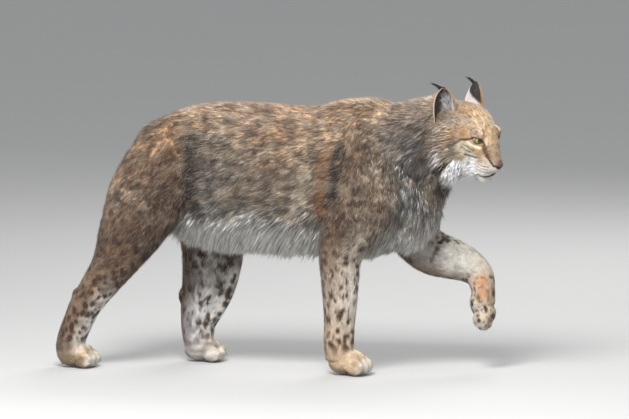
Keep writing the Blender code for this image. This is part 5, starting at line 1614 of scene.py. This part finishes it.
class LYNX_OT_head_coat(bpy.types.Operator):
    """Grows the short fur of the face and the long ruff"""

    bl_idname = "lynx.head_coat"
    bl_label = "Head coat and ruff"

    def execute(self, context):
        settings = coat_settings()
        skin = bpy.data.objects["skin"]
        verts, tris, normals = mesh_arrays(skin)
        tris = tris[head_share(verts[tris].mean(1)) > 0.2]
        local = to_head(verts)
        turned = normals @ HEAD[:3, :3]
        centre = local[tris].mean(1)
        x, y, z = centre.T
        bare = np.zeros(len(tris), bool)
        for side in (LEFT, RIGHT):
            place, aim, long_way, short_way = eye_frame(side)
            away = centre - place
            across = (away @ long_way) / (SLIT_WIDTH / 2 + 0.0014)
            upright = (away @ short_way) / (SLIT_HEIGHT / 2 + 0.0014)
            bare |= (np.hypot(across, upright) < 1.0) & (away @ aim > -0.004)
        bare |= np.linalg.norm((centre - NOSE_PLACE) / (np.array(NOSE_RADII) * 1.02), axis=1) < 1.0
        mouth = np.interp(x, [row[0] for row in MOUTH], [row[1] for row in MOUTH])
        bare |= (np.abs(z - mouth) < 0.0018) & (x > 0.074) & (x < 0.124)
        material = coat_material("head_fur", 0.72, 500.0)
        for number, side in enumerate((LEFT, RIGHT)):
            rng = np.random.default_rng(settings.seed * 100 + 40 + number)
            chosen = ~bare & (np.sign(y) == side) & (x > -0.085)
            density = 0.35 + step_between(-0.04, 0.03, x) * 0.65 + 1.1 * step_between(0.05, 0.09, x)
            count = scale_count(26000)
            roots, normal = scatter(local, tris[chosen], turned, count, rng, density[chosen])
            way, length, lift, hang = head_lie(roots, normal)
            length = length * settings.length * rng.uniform(0.75, 1.2, count)
            out = lean(way, normal, lift, hang, rng, 0.16)
            wide = np.clip(length * 0.15, 0.0007, 0.0018)
            bend = rng.uniform(0.0, 0.12, count)
            pull = unit(way - normal)
            self.grow(
                "coat_face_" + ("left" if side == LEFT else "right"), roots, out, normal, length, wide, bend, pull,
                coat_colour(from_head(seen_place(roots, out, normal, length))), material, rng, rings=1, vary=0.12, root=0.78, tick=0.10, frost=0.12,
                sink=0.0006,
            )  # fmt: skip
            self.grow_ruff(side, local, tris, turned, centre, material, rng)
        return {"FINISHED"}

    def grow(self, name, roots, out, normal, length, wide, bend, pull, colour, material, rng, **looks):
        """Turns a head piece into the animal's frame and grows it, unwrapped by angles from the head's middle."""
        away = unit(roots - np.array((0.02, 0.0, -0.005)))
        unwrap = (np.arctan2(away[:, 1], away[:, 2]), np.arccos(np.clip(away[:, 0], -1.0, 1.0)))
        spin = HEAD[:3, :3].T
        grow_coat(
            name, from_head(roots), out @ spin, normal @ spin, length, wide, bend, pull @ spin, colour,
            unwrap, material, "coat_head", rng, **looks,
        )  # fmt: skip

    def grow_ruff(self, side, local, tris, turned, centre, material, rng):
        """The long fur of the cheek: each tuft reaches from the skin for its own place on the line of the tips."""
        foot = np.array(RUFF_FOOT) * (1.0, side, 1.0)
        tips = np.array(RUFF_TIPS) * (1.0, side, 1.0)
        near = np.linalg.norm(centre[:, None] - catmull_rom(foot, 6)[None], axis=2).min(1)
        chosen = near < RUFF_BAND
        count = scale_count(5800)
        roots, normal = scatter(local, tris[chosen], turned, count, rng, (1.02 - near[chosen] / RUFF_BAND) ** 1.3)
        fine = catmull_rom(foot, 12)
        gap = np.linalg.norm(roots[:, None] - fine[None], axis=2)
        place = gap.argmin(1) / (len(fine) - 1.0)
        ahead = np.clip(gap.min(1) / RUFF_BAND, 0.0, 1.0) * (roots[:, 0] > fine[gap.argmin(1), 0])
        place = np.clip(place + rng.normal(0.0, 0.030, count), 0.0, 1.0)
        lock = np.round(place * RUFF_LOCKS) / RUFF_LOCKS
        place = place + (lock - place) * 0.65
        line = catmull_rom(tips, 24)
        step = np.linspace(0.0, 1.0, len(line))
        tip = np.stack([np.interp(place, step, line[:, k]) for k in range(3)], axis=1)
        inner = rng.random(count) ** 1.3
        tip = tip - normal * (inner * 0.020)[:, None] + rng.normal(0.0, 0.0030, (count, 3))
        reach = tip - roots
        length = np.linalg.norm(reach, axis=1) * rng.uniform(0.34, 1.02, count) ** 0.8 * (1.0 - 0.62 * ahead)
        way = unit(unit(reach) + normal * 0.24)
        bend = np.full(count, 0.30)
        pull = -normal
        wide = np.full(count, 0.0021)
        seen = roots + unit(reach) * (length * 0.85)[:, None]
        outer = (1.0 - inner) * length / np.linalg.norm(reach, axis=1)
        colour = self.ruff_colour(roots, seen, place, outer)
        self.grow(
            "coat_ruff_" + ("left" if side == LEFT else "right"), roots, way, normal, length, wide, bend, pull,
            colour, material, rng, rings=2, vary=0.22, root=0.60, frost=0.10, tick=0.14,
        )  # fmt: skip

    def ruff_colour(self, roots, seen, place, outer):
        """The cheek's brown, barred and greyer outwards, with pale hanging tips, a black streak, and white in front."""
        z = seen[:, 2]
        bars = 0.5 + 0.5 * np.sin(z / 0.0017 + seen[:, 0] / 0.006 + 6.0 * smooth_noise(seen, 0.016, 90))
        cloud = 0.80 + 0.40 * smooth_noise(seen, 0.010, 91)
        colour = srgb(150, 134, 118) * ((1.0 - 0.45 * bars) * cloud)[:, None]
        within = step_between(0.75, 0.25, outer)
        colour = colour + (head_colour(roots) - colour) * (0.8 * within)[:, None]
        edge = step_between(0.52, 0.40, place) * step_between(0.55, 0.85, outer) * step_between(-0.035, -0.065, z)
        colour = colour + (srgb(206, 204, 206) - colour) * (0.75 * edge)[:, None]
        streak = step_between(0.42, 0.47, place) * step_between(0.64, 0.58, place) * step_between(-0.060, -0.080, z)
        colour = colour + (srgb(26, 22, 20) - colour) * (0.95 * streak)[:, None]
        white = step_between(0.60, 0.68, place)
        return colour + (srgb(230, 230, 232) * (0.66 + 0.30 * cloud)[:, None] - colour) * white[:, None]


class LYNX_OT_ears(bpy.types.Operator):
    """Builds both ears with their fur and black tufts"""

    bl_idname = "lynx.ears"
    bl_label = "Ears"

    def execute(self, context):
        settings = coat_settings()
        material = coat_material("ear_fur", 0.75, 600.0)
        for number, side in enumerate((LEFT, RIGHT)):
            word = "left" if side == LEFT else "right"
            rng = np.random.default_rng(settings.seed * 100 + 60 + number)
            ear = build_ear(side)
            ear.data.materials.append(material)
            ear.data.shade_smooth()
            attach(ear, "root")
            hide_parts("ear_" + word)
            self.grow_fur(side, word, ear, material, rng)
            self.grow_tuft(side, word, material, rng)
        return {"FINISHED"}

    def grow_fur(self, side, word, ear, material, rng):
        """Short fur outside, a fringe along the rims, and long pale hair across the cup."""
        foot, up, opens, wide = ear_frame(side)
        count = scale_count(4600)
        s, t = rng.uniform(-1.0, 1.0, count), rng.uniform(0.0, 0.99, count)
        self.sheet("coat_ear_", side, word, s, t, 1.0, (0.004, 0.008), 0.0010, ear_back_colour(side, s, t), material, rng)
        count = scale_count(2000)
        s, t = rng.choice([-1.0, 1.0], count) * rng.uniform(0.93, 1.0, count), rng.uniform(0.0, 0.97, count)
        colour = ear_back_colour(side, s, t)
        self.sheet("coat_ear_rim_", side, word, s, t, 0.2, (0.003, 0.007), 0.0008, colour, material, rng)
        count = scale_count(1600)
        s, t = rng.uniform(-0.9, 0.9, count), rng.uniform(0.05, 0.95, count)
        colour = ear_inside_colour(side, s, t)
        self.sheet("coat_ear_inside_", side, word, s, t, -1.0, (0.005, 0.009), 0.0011, colour, material, rng)
        count = scale_count(620)
        s = EAR_FRONT[side] * rng.uniform(-0.10, 0.95, count)
        t = rng.uniform(0.0, 0.74, count)
        roots = ear_points(side, s, t, -EAR_WALL / 2)
        middle = foot + up * (EAR_HEIGHT * t)[:, None]
        normal = unit(middle - roots)
        way = np.tile(unit(up * 0.9 - wide * (0.45 * EAR_FRONT[side]) + opens * 0.40), (count, 1))
        length = rng.uniform(0.014, 0.027, count) * (1.0 - 0.4 * t)
        out = lean(way, normal, np.full(count, 0.40), np.zeros(count), rng, 0.28)
        dark = step_between(0.45, 0.70, t) * 0.7
        tone = rng.uniform(0.35, 1.0, count)[:, None]
        colour = srgb(196, 194, 194) * tone * (1.0 - dark[:, None]) + srgb(90, 84, 80) * dark[:, None]
        self.grow("coat_ear_hair_" + word, s, t, roots, out, normal, length, 0.0010, colour, material, rng)

    def sheet(self, name, side, word, s, t, outward, lengths, thick, colour, material, rng):
        """Fur over one side of the cup, lying towards its tip."""
        roots = ear_points(side, s, t, EAR_WALL / 2 * outward)
        round_ = ear_points(side, s + 0.01, t, EAR_WALL / 2 * outward) - roots
        rise = ear_points(side, s, np.minimum(t + 0.01, 1.0), EAR_WALL / 2 * outward) - roots
        foot, up, opens, wide = ear_frame(side)
        rise = rise + up * 1e-5
        normal = unit(np.cross(round_, rise))
        middle = foot + up * (EAR_HEIGHT * t)[:, None]
        normal = normal * np.sign(np.sum(normal * (roots - middle), 1, keepdims=True) + 1e-9) * np.sign(outward)
        way = unit(up - wide * (0.22 * np.sin(np.radians(EAR_CURL) * s))[:, None] - opens * 0.15)
        length = rng.uniform(*lengths, len(s))
        out = lean(way, normal, np.full(len(s), 0.24), np.zeros(len(s)), rng, 0.15)
        self.grow(name + word, s, t, roots, out, normal, length, thick, colour, material, rng)

    def grow_tuft(self, side, word, material, rng):
        """The long black tuft that sweeps back from the ear's tip and draws to a point."""
        foot, up, opens, wide = ear_frame(side)
        count = 90
        t = rng.uniform(0.90, 1.0, count)
        s = rng.uniform(-0.6, 0.6, count)
        roots = ear_points(side, s, t, 0.0)
        back = unit(np.array((-0.95, 0.1 * side, 0.0)))
        run = unit(up * 0.10 + back)
        tip = ear_points(side, np.zeros(1), np.ones(1))[0] + run * EAR_TUFT
        reach = tip - roots
        length = np.linalg.norm(reach, axis=1) * rng.uniform(0.60, 1.02, count)
        way = unit(unit(reach) + up * 0.30 + rng.normal(0.0, 0.022, (count, 3)))
        normal = unit(up - way * np.sum(way * up, 1, keepdims=True))
        spin = HEAD[:3, :3].T
        bend = np.full(count, 0.30)
        pull = np.tile(unit(back * 0.2 - up), (count, 1))
        colour = srgb(20, 17, 16) * np.ones((count, 1))
        grow_coat(
            "ear_tuft_" + word, from_head(roots), way @ spin, normal @ spin, length, np.full(count, 0.0013),
            bend, pull @ spin, colour, (s, t), material, "coat_ear", rng, rings=3, root=0.9, vary=0.2,
        )  # fmt: skip

    def grow(self, name, s, t, roots, out, normal, length, wide, colour, material, rng):
        """One layer of ear fur in the animal's frame."""
        spin = HEAD[:3, :3].T
        bend = rng.uniform(0.0, 0.2, len(roots))
        grow_coat(
            name, from_head(roots), out @ spin, normal @ spin, length, np.full(len(roots), wide), bend,
            unit(out - normal) @ spin, colour, (s, t), material, "coat_ear", rng, rings=1, root=0.8, vary=0.16,
            sink=0.0006,
        )  # fmt: skip


class LYNX_OT_face(bpy.types.Operator):
    """Builds the eyes, their lids, the nose, the lips and the whiskers"""

    bl_idname = "lynx.face"
    bl_label = "Eyes, nose and whiskers"

    def execute(self, context):
        settings = context.scene.lynx_face
        rim = bare_material("rim_skin", tuple(settings.rim), 0.35, 900.0, 0.3)
        skin = bpy.data.objects["skin"]
        for side in (LEFT, RIGHT):
            self.build_eye(side, skin, rim)
        self.build_nose(tuple(settings.nose))
        self.build_lips(skin, rim)
        self.build_whiskers(skin, settings.whisker)
        return {"FINISHED"}

    def build_eye(self, side, skin, rim):
        """The eyeball, and the dark rims of the lids lying on the skin round the slit."""
        word = "left" if side == LEFT else "right"
        place, aim, long_way, short_way = eye_frame(side)
        basis = np.stack([long_way, short_way, aim], 1)
        verts, faces = ellipsoid((0.0, 0.0, 0.0), (EYE_RADIUS,) * 3, None, 48, 32)
        ahead = verts[:, 2] / EYE_RADIUS
        verts = verts * (1.0 + 0.045 * step_between(0.70, 0.95, ahead))[:, None]
        eye = make_object("eyeball_" + word, from_head(verts @ basis.T + place), faces)
        turn_out(eye)
        eye.data.materials.append(eye_material(side))
        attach(eye, "root")
        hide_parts("eye_" + word)
        flat = almond(0.0004, 56)
        turn = np.linspace(0.0, math.tau, 56, endpoint=False)
        ring = []
        for a, b in flat:
            start = from_head((place + long_way * a + short_way * b + aim * 0.05)[None])[0]
            hit = ray_to_skin(skin, start, -(HEAD[:3, :3] @ aim))
            ball = place + long_way * a + short_way * b + aim * math.sqrt(max(EYE_RADIUS**2 - a * a - b * b, 0.0))
            ball = from_head(ball[None])[0]
            lifted = HEAD[:3, :3] @ aim * 0.0002
            deep = hit is None or (hit - ball) @ (HEAD[:3, :3] @ aim) < 0.0
            ring.append((ball if deep else hit) + lifted)
        ring = np.array(ring)
        for _ in range(3):
            ring = (np.roll(ring, 1, 0) + ring * 2 + np.roll(ring, -1, 0)) / 4
        out = unit(flat[:, :1] * long_way + flat[:, 1:] * short_way) @ HEAD[:3, :3].T
        radii = 0.0010 + 0.0009 * step_between(-0.1, 0.6, np.sin(turn)) + 0.0006 * step_between(0.8, 1.0, np.abs(np.cos(turn)))
        lids = make_object("lids_" + word, *ring_tube(ring, radii, out))
        turn_out(lids)
        lids.data.materials.append(rim)
        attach(lids, "root")

    def build_nose(self, colour):
        """The nose pad: an ellipsoid drawn in below, with a groove down its middle and two nostrils."""
        rise, round_ = np.meshgrid(
            np.linspace(0.05, math.pi - 0.05, 44), np.linspace(0, math.tau, 64, endpoint=False), indexing="ij"
        )
        ball = np.stack([np.cos(rise), np.sin(rise) * np.cos(round_), np.sin(rise) * np.sin(round_)], -1)
        x, y, z = (ball[..., k] for k in range(3))
        wide = 1.0 - 0.42 * step_between(0.15, -0.95, z)
        grid = np.stack([x * NOSE_RADII[0], y * NOSE_RADII[1] * wide, z * NOSE_RADII[2]], -1)
        hole = np.zeros(x.shape)
        for side in (LEFT, RIGHT):
            away = np.hypot((y - side * 0.56) / 0.25, (z + 0.20 - 0.35 * (np.abs(y) - 0.5)) / 0.20)
            hole = np.maximum(hole, (1.0 - step_between(0.3, 1.1, away)) * (x > 0))
        grid[..., 0] -= 0.0050 * hole
        grid[..., 0] -= 0.0016 * np.exp(-((y / 0.07) ** 2)) * (x > 0) * step_between(0.5, -0.1, z)
        verts, faces = closed_grid(grid)
        nose = make_object("nose_pad", from_head(verts + np.array(NOSE_PLACE)), faces)
        turn_out(nose)
        made = bare_material("nose_leather", colour, 0.42, 1500.0, 0.5, 0.75)
        tree = made.node_tree
        shader = tree.nodes["Principled BSDF"]
        markings = add_node(tree, "ShaderNodeAttribute", attribute_name="shade")
        mix = add_node(tree, "ShaderNodeMix", data_type="RGBA", blend_type="MULTIPLY")
        mix.inputs["Factor"].default_value = 1.0
        old = shader.inputs["Base Color"].links[0].from_socket
        tree.links.new(old, mix.inputs["A"])
        tree.links.new(markings.outputs["Color"], mix.inputs["B"])
        tree.links.new(mix.outputs["Result"], shader.inputs["Base Color"])
        # Dark in the nostrils, painted shade in their shallow hollows, and black along the lower half of the pad, its
        # own colour.
        dark = np.maximum(step_between(0.2, 0.6, hole), 0.95 * step_between(0.10, -0.20, z - 0.5 * (np.abs(y) - 0.4)))
        shade = np.append(1.0 - 0.92 * dark.ravel(), [1.0, 1.0])
        paint_points(nose, "shade", np.repeat(shade[:, None], 3, 1))
        nose.data.materials.append(made)
        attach(nose, "root")
        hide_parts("nose")

    def build_lips(self, skin, rim):
        """The dark line of the lips from corner to corner, and the groove up to the nose."""
        half = catmull_rom(MOUTH, 6)
        line = []
        for side, rows in ((LEFT, half), (RIGHT, half[::-1])):
            for x, z in rows:
                start = from_head(np.array([[x, side * 0.1, z]]))[0]
                hit = ray_to_skin(skin, start, HEAD[:3, :3] @ np.array((0.0, -side, 0.0)))
                if hit is None:
                    start = from_head(np.array([[0.2, side * 0.002, z]]))[0]
                    hit = ray_to_skin(skin, start, HEAD[:3, :3] @ np.array((-1.0, 0.0, 0.0)))
                line.append(hit)
        line = np.array(line)
        for _ in range(2):
            line[1:-1] = (line[:-2] + line[1:-1] * 2 + line[2:]) / 4
        size = np.sin(np.linspace(0.12, math.pi - 0.12, len(line))) ** 0.6 * 0.0024
        shapes = [line_tube(line, size)]
        groove = [from_head(np.array([[0.1225 + 0.004 * t, 0.0, -0.060 + 0.016 * t]]))[0] for t in (0.0, 0.5, 1.0)]
        shapes.append(line_tube(np.array(groove), np.array((0.0014, 0.0012, 0.0014))))
        lips = make_object("lips", *joined(shapes))
        turn_out(lips)
        lips.data.materials.append(rim)
        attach(lips, "root")

    def build_whiskers(self, skin, longest):
        """White whiskers in rows on each side of the muzzle: root + length * (t * way + t^2 * droop)."""
        shapes = []
        rng = np.random.default_rng(coat_settings().seed)
        for side in (LEFT, RIGHT):
            for row in range(4):
                for step in range(4):
                    x, z = 0.116 - 0.0065 * step, -0.0365 - 0.0062 * row
                    start = from_head(np.array([[x, side * 0.1, z]]))[0]
                    root = ray_to_skin(skin, start, HEAD[:3, :3] @ np.array((0.0, -side, 0.0)))
                    if root is None:
                        continue
                    way = unit(np.array((-0.35 - 0.16 * step, side * (0.8 - 0.08 * step), 0.10 - 0.14 * row)) + rng.normal(0, 0.05, 3))
                    droop = np.array((-0.25, 0.0, -0.28))
                    length = longest * (0.55 + 0.15 * step) * rng.uniform(0.8, 1.0)
                    t = np.linspace(0.0, 1.0, 10)[:, None]
                    line = root + (length * (t * way + t * t * droop)) @ HEAD[:3, :3].T
                    shapes.append(line_tube(line, 0.00034 * (1.0 - 0.85 * t[:, 0]), 5))
        whiskers = make_object("whiskers", *joined(shapes))
        turn_out(whiskers)
        made, tree, shader = new_material("whisker_hair", 0.35)
        tone = add_node(tree, "ShaderNodeTexNoise")
        tone.inputs["Scale"].default_value = 60.0
        ramp = add_node(tree, "ShaderNodeValToRGB")
        ramp.color_ramp.elements[0].color = (0.62, 0.60, 0.56, 1.0)
        ramp.color_ramp.elements[1].color = (0.90, 0.89, 0.86, 1.0)
        place = add_node(tree, "ShaderNodeTexCoord")
        tree.links.new(place.outputs["Object"], tone.inputs["Vector"])
        tree.links.new(tone.outputs["Fac"], ramp.inputs["Fac"])
        tree.links.new(ramp.outputs["Color"], shader.inputs["Base Color"])
        whiskers.data.materials.append(made)
        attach(whiskers, "root")


# The photograph's frame: its size, the place of the frame's origin in it, and its scale.
PHOTO = (629, 419)
ORIGIN_PIXEL = (346.5, 370.7)
PIXELS_PER_METRE = 409.0
CAMERA_TURN, CAMERA_RISE, CAMERA_AWAY = 15.0, 6.0, 25.0


class LYNX_OT_stage(bpy.types.Operator):
    """Builds the studio: floor, lights and camera"""

    bl_idname = "lynx.stage"
    bl_label = "Studio"

    def execute(self, context):
        settings = context.scene.lynx_stage
        self.build_floor(tuple(settings.floor))
        self.build_lights(settings.light)
        self.build_camera()
        return {"FINISHED"}

    def build_floor(self, colour):
        """A wide plain floor."""
        half = 30.0
        corners = np.array([(-half, -half, 0.0), (half, -half, 0.0), (half, half, 0.0), (-half, half, 0.0)])
        floor = make_object("floor", corners - SHIFT, np.array([[0, 1, 2, 3]]), smooth=False)
        made, tree, shader = new_material("floor_matt", 0.9)
        tone = add_node(tree, "ShaderNodeTexNoise")
        tone.inputs["Scale"].default_value = 3.0
        place = add_node(tree, "ShaderNodeTexCoord")
        ramp = add_node(tree, "ShaderNodeValToRGB")
        ramp.color_ramp.elements[0].color = (*(np.array(colour) * 0.97), 1.0)
        ramp.color_ramp.elements[1].color = (*colour, 1.0)
        tree.links.new(place.outputs["Object"], tone.inputs["Vector"])
        tree.links.new(tone.outputs["Fac"], ramp.inputs["Fac"])
        tree.links.new(ramp.outputs["Color"], shader.inputs["Base Color"])
        floor.data.materials.append(made)

    def build_lights(self, strength):
        """A broad key from above and the right, a fill from the left, a rim from behind and a pale sky."""
        lamps = (
            ("key", (0.2, -2.6, 3.0), 1.4, 275.0),
            ("fill", (-2.6, -3.0, 1.0), 2.6, 60.0),
            ("rim", (0.4, 3.0, 2.6), 2.0, 80.0),
        )
        for name, place, size, power in lamps:
            data = bpy.data.lights.new(name, "AREA")
            data.size = size
            data.energy = power * strength
            lamp = bpy.data.objects.new(name, data)
            lamp.location = place
            lamp.rotation_euler = (Vector((0.0, 0.0, 0.35)) - Vector(place)).to_track_quat("-Z", "Y").to_euler()
            bpy.context.scene.collection.objects.link(lamp)
        world = bpy.data.worlds.new("studio")
        world.use_nodes = True
        world.node_tree.nodes["Background"].inputs["Color"].default_value = (0.86, 0.88, 0.90, 1.0)
        world.node_tree.nodes["Background"].inputs["Strength"].default_value = 0.80
        bpy.context.scene.world = world
        bpy.context.scene.view_settings.view_transform = "Standard"

    def build_camera(self):
        """A far camera that gives the photograph's scale, turn and rise."""
        turn, rise = math.radians(CAMERA_TURN), math.radians(CAMERA_RISE)
        right = Vector((math.cos(turn), math.sin(turn), 0.0))
        view = Vector((-math.sin(turn) * math.cos(rise), math.cos(turn) * math.cos(rise), -math.sin(rise)))
        up = right.cross(view)
        across = (PHOTO[0] / 2 - ORIGIN_PIXEL[0]) / PIXELS_PER_METRE
        above = (ORIGIN_PIXEL[1] - PHOTO[1] / 2) / PIXELS_PER_METRE
        centre = right * across + up * above
        depth = Vector((-0.15, 0.0, 0.4)).dot(view) - centre.dot(view)
        data = bpy.data.cameras.new("camera")
        data.sensor_width = 36.0
        data.lens = 36.0 * CAMERA_AWAY * PIXELS_PER_METRE / PHOTO[0]
        data.clip_end = 200.0
        camera = bpy.data.objects.new("camera", data)
        camera.location = centre + view * (depth - CAMERA_AWAY) + Vector(SHIFT)
        camera.rotation_euler = view.to_track_quat("-Z", "Y").to_euler()
        bpy.context.scene.collection.objects.link(camera)
        bpy.context.scene.camera = camera


class LYNX_PT_panel(bpy.types.Panel):
    """Lists the lynx's pieces"""

    bl_idname = "LYNX_PT_panel"
    bl_label = "Lynx"
    bl_space_type = "VIEW_3D"
    bl_region_type = "UI"
    bl_category = "Lynx"

    def draw(self, context):
        scene = context.scene
        for owner, names in (
            (scene.lynx_coat, ("density", "length", "width", "seed")),
            (scene.lynx_face, ("whisker", "nose", "rim")),
            (scene.lynx_stage, ("floor", "light")),
        ):
            box = self.layout.box()
            for name in names:
                box.prop(owner, name)
        for made in OPERATORS:
            self.layout.operator(made.bl_idname)


OPERATORS = (LYNX_OT_skin, LYNX_OT_coat, LYNX_OT_head_coat, LYNX_OT_ears, LYNX_OT_face, LYNX_OT_stage)
SETTINGS = (LynxCoatSettings, LynxFaceSettings, LynxStageSettings)


def register():
    """Registers the settings, operators and panel."""
    for made in (*SETTINGS, *OPERATORS, LYNX_PT_panel):
        bpy.utils.register_class(made)
    bpy.types.Scene.lynx_coat = PointerProperty(type=LynxCoatSettings)
    bpy.types.Scene.lynx_face = PointerProperty(type=LynxFaceSettings)
    bpy.types.Scene.lynx_stage = PointerProperty(type=LynxStageSettings)


def unregister():
    """Takes them away again."""
    for name in ("lynx_coat", "lynx_face", "lynx_stage"):
        delattr(bpy.types.Scene, name)
    for made in reversed((*SETTINGS, *OPERATORS, LYNX_PT_panel)):
        bpy.utils.unregister_class(made)


def main():
    """Builds everything."""
    register()
    bpy.ops.lynx.skin()
    bpy.ops.lynx.coat()
    bpy.ops.lynx.head_coat()
    bpy.ops.lynx.ears()
    bpy.ops.lynx.face()
    bpy.ops.lynx.stage()


if __name__ == "__main__":
    main()
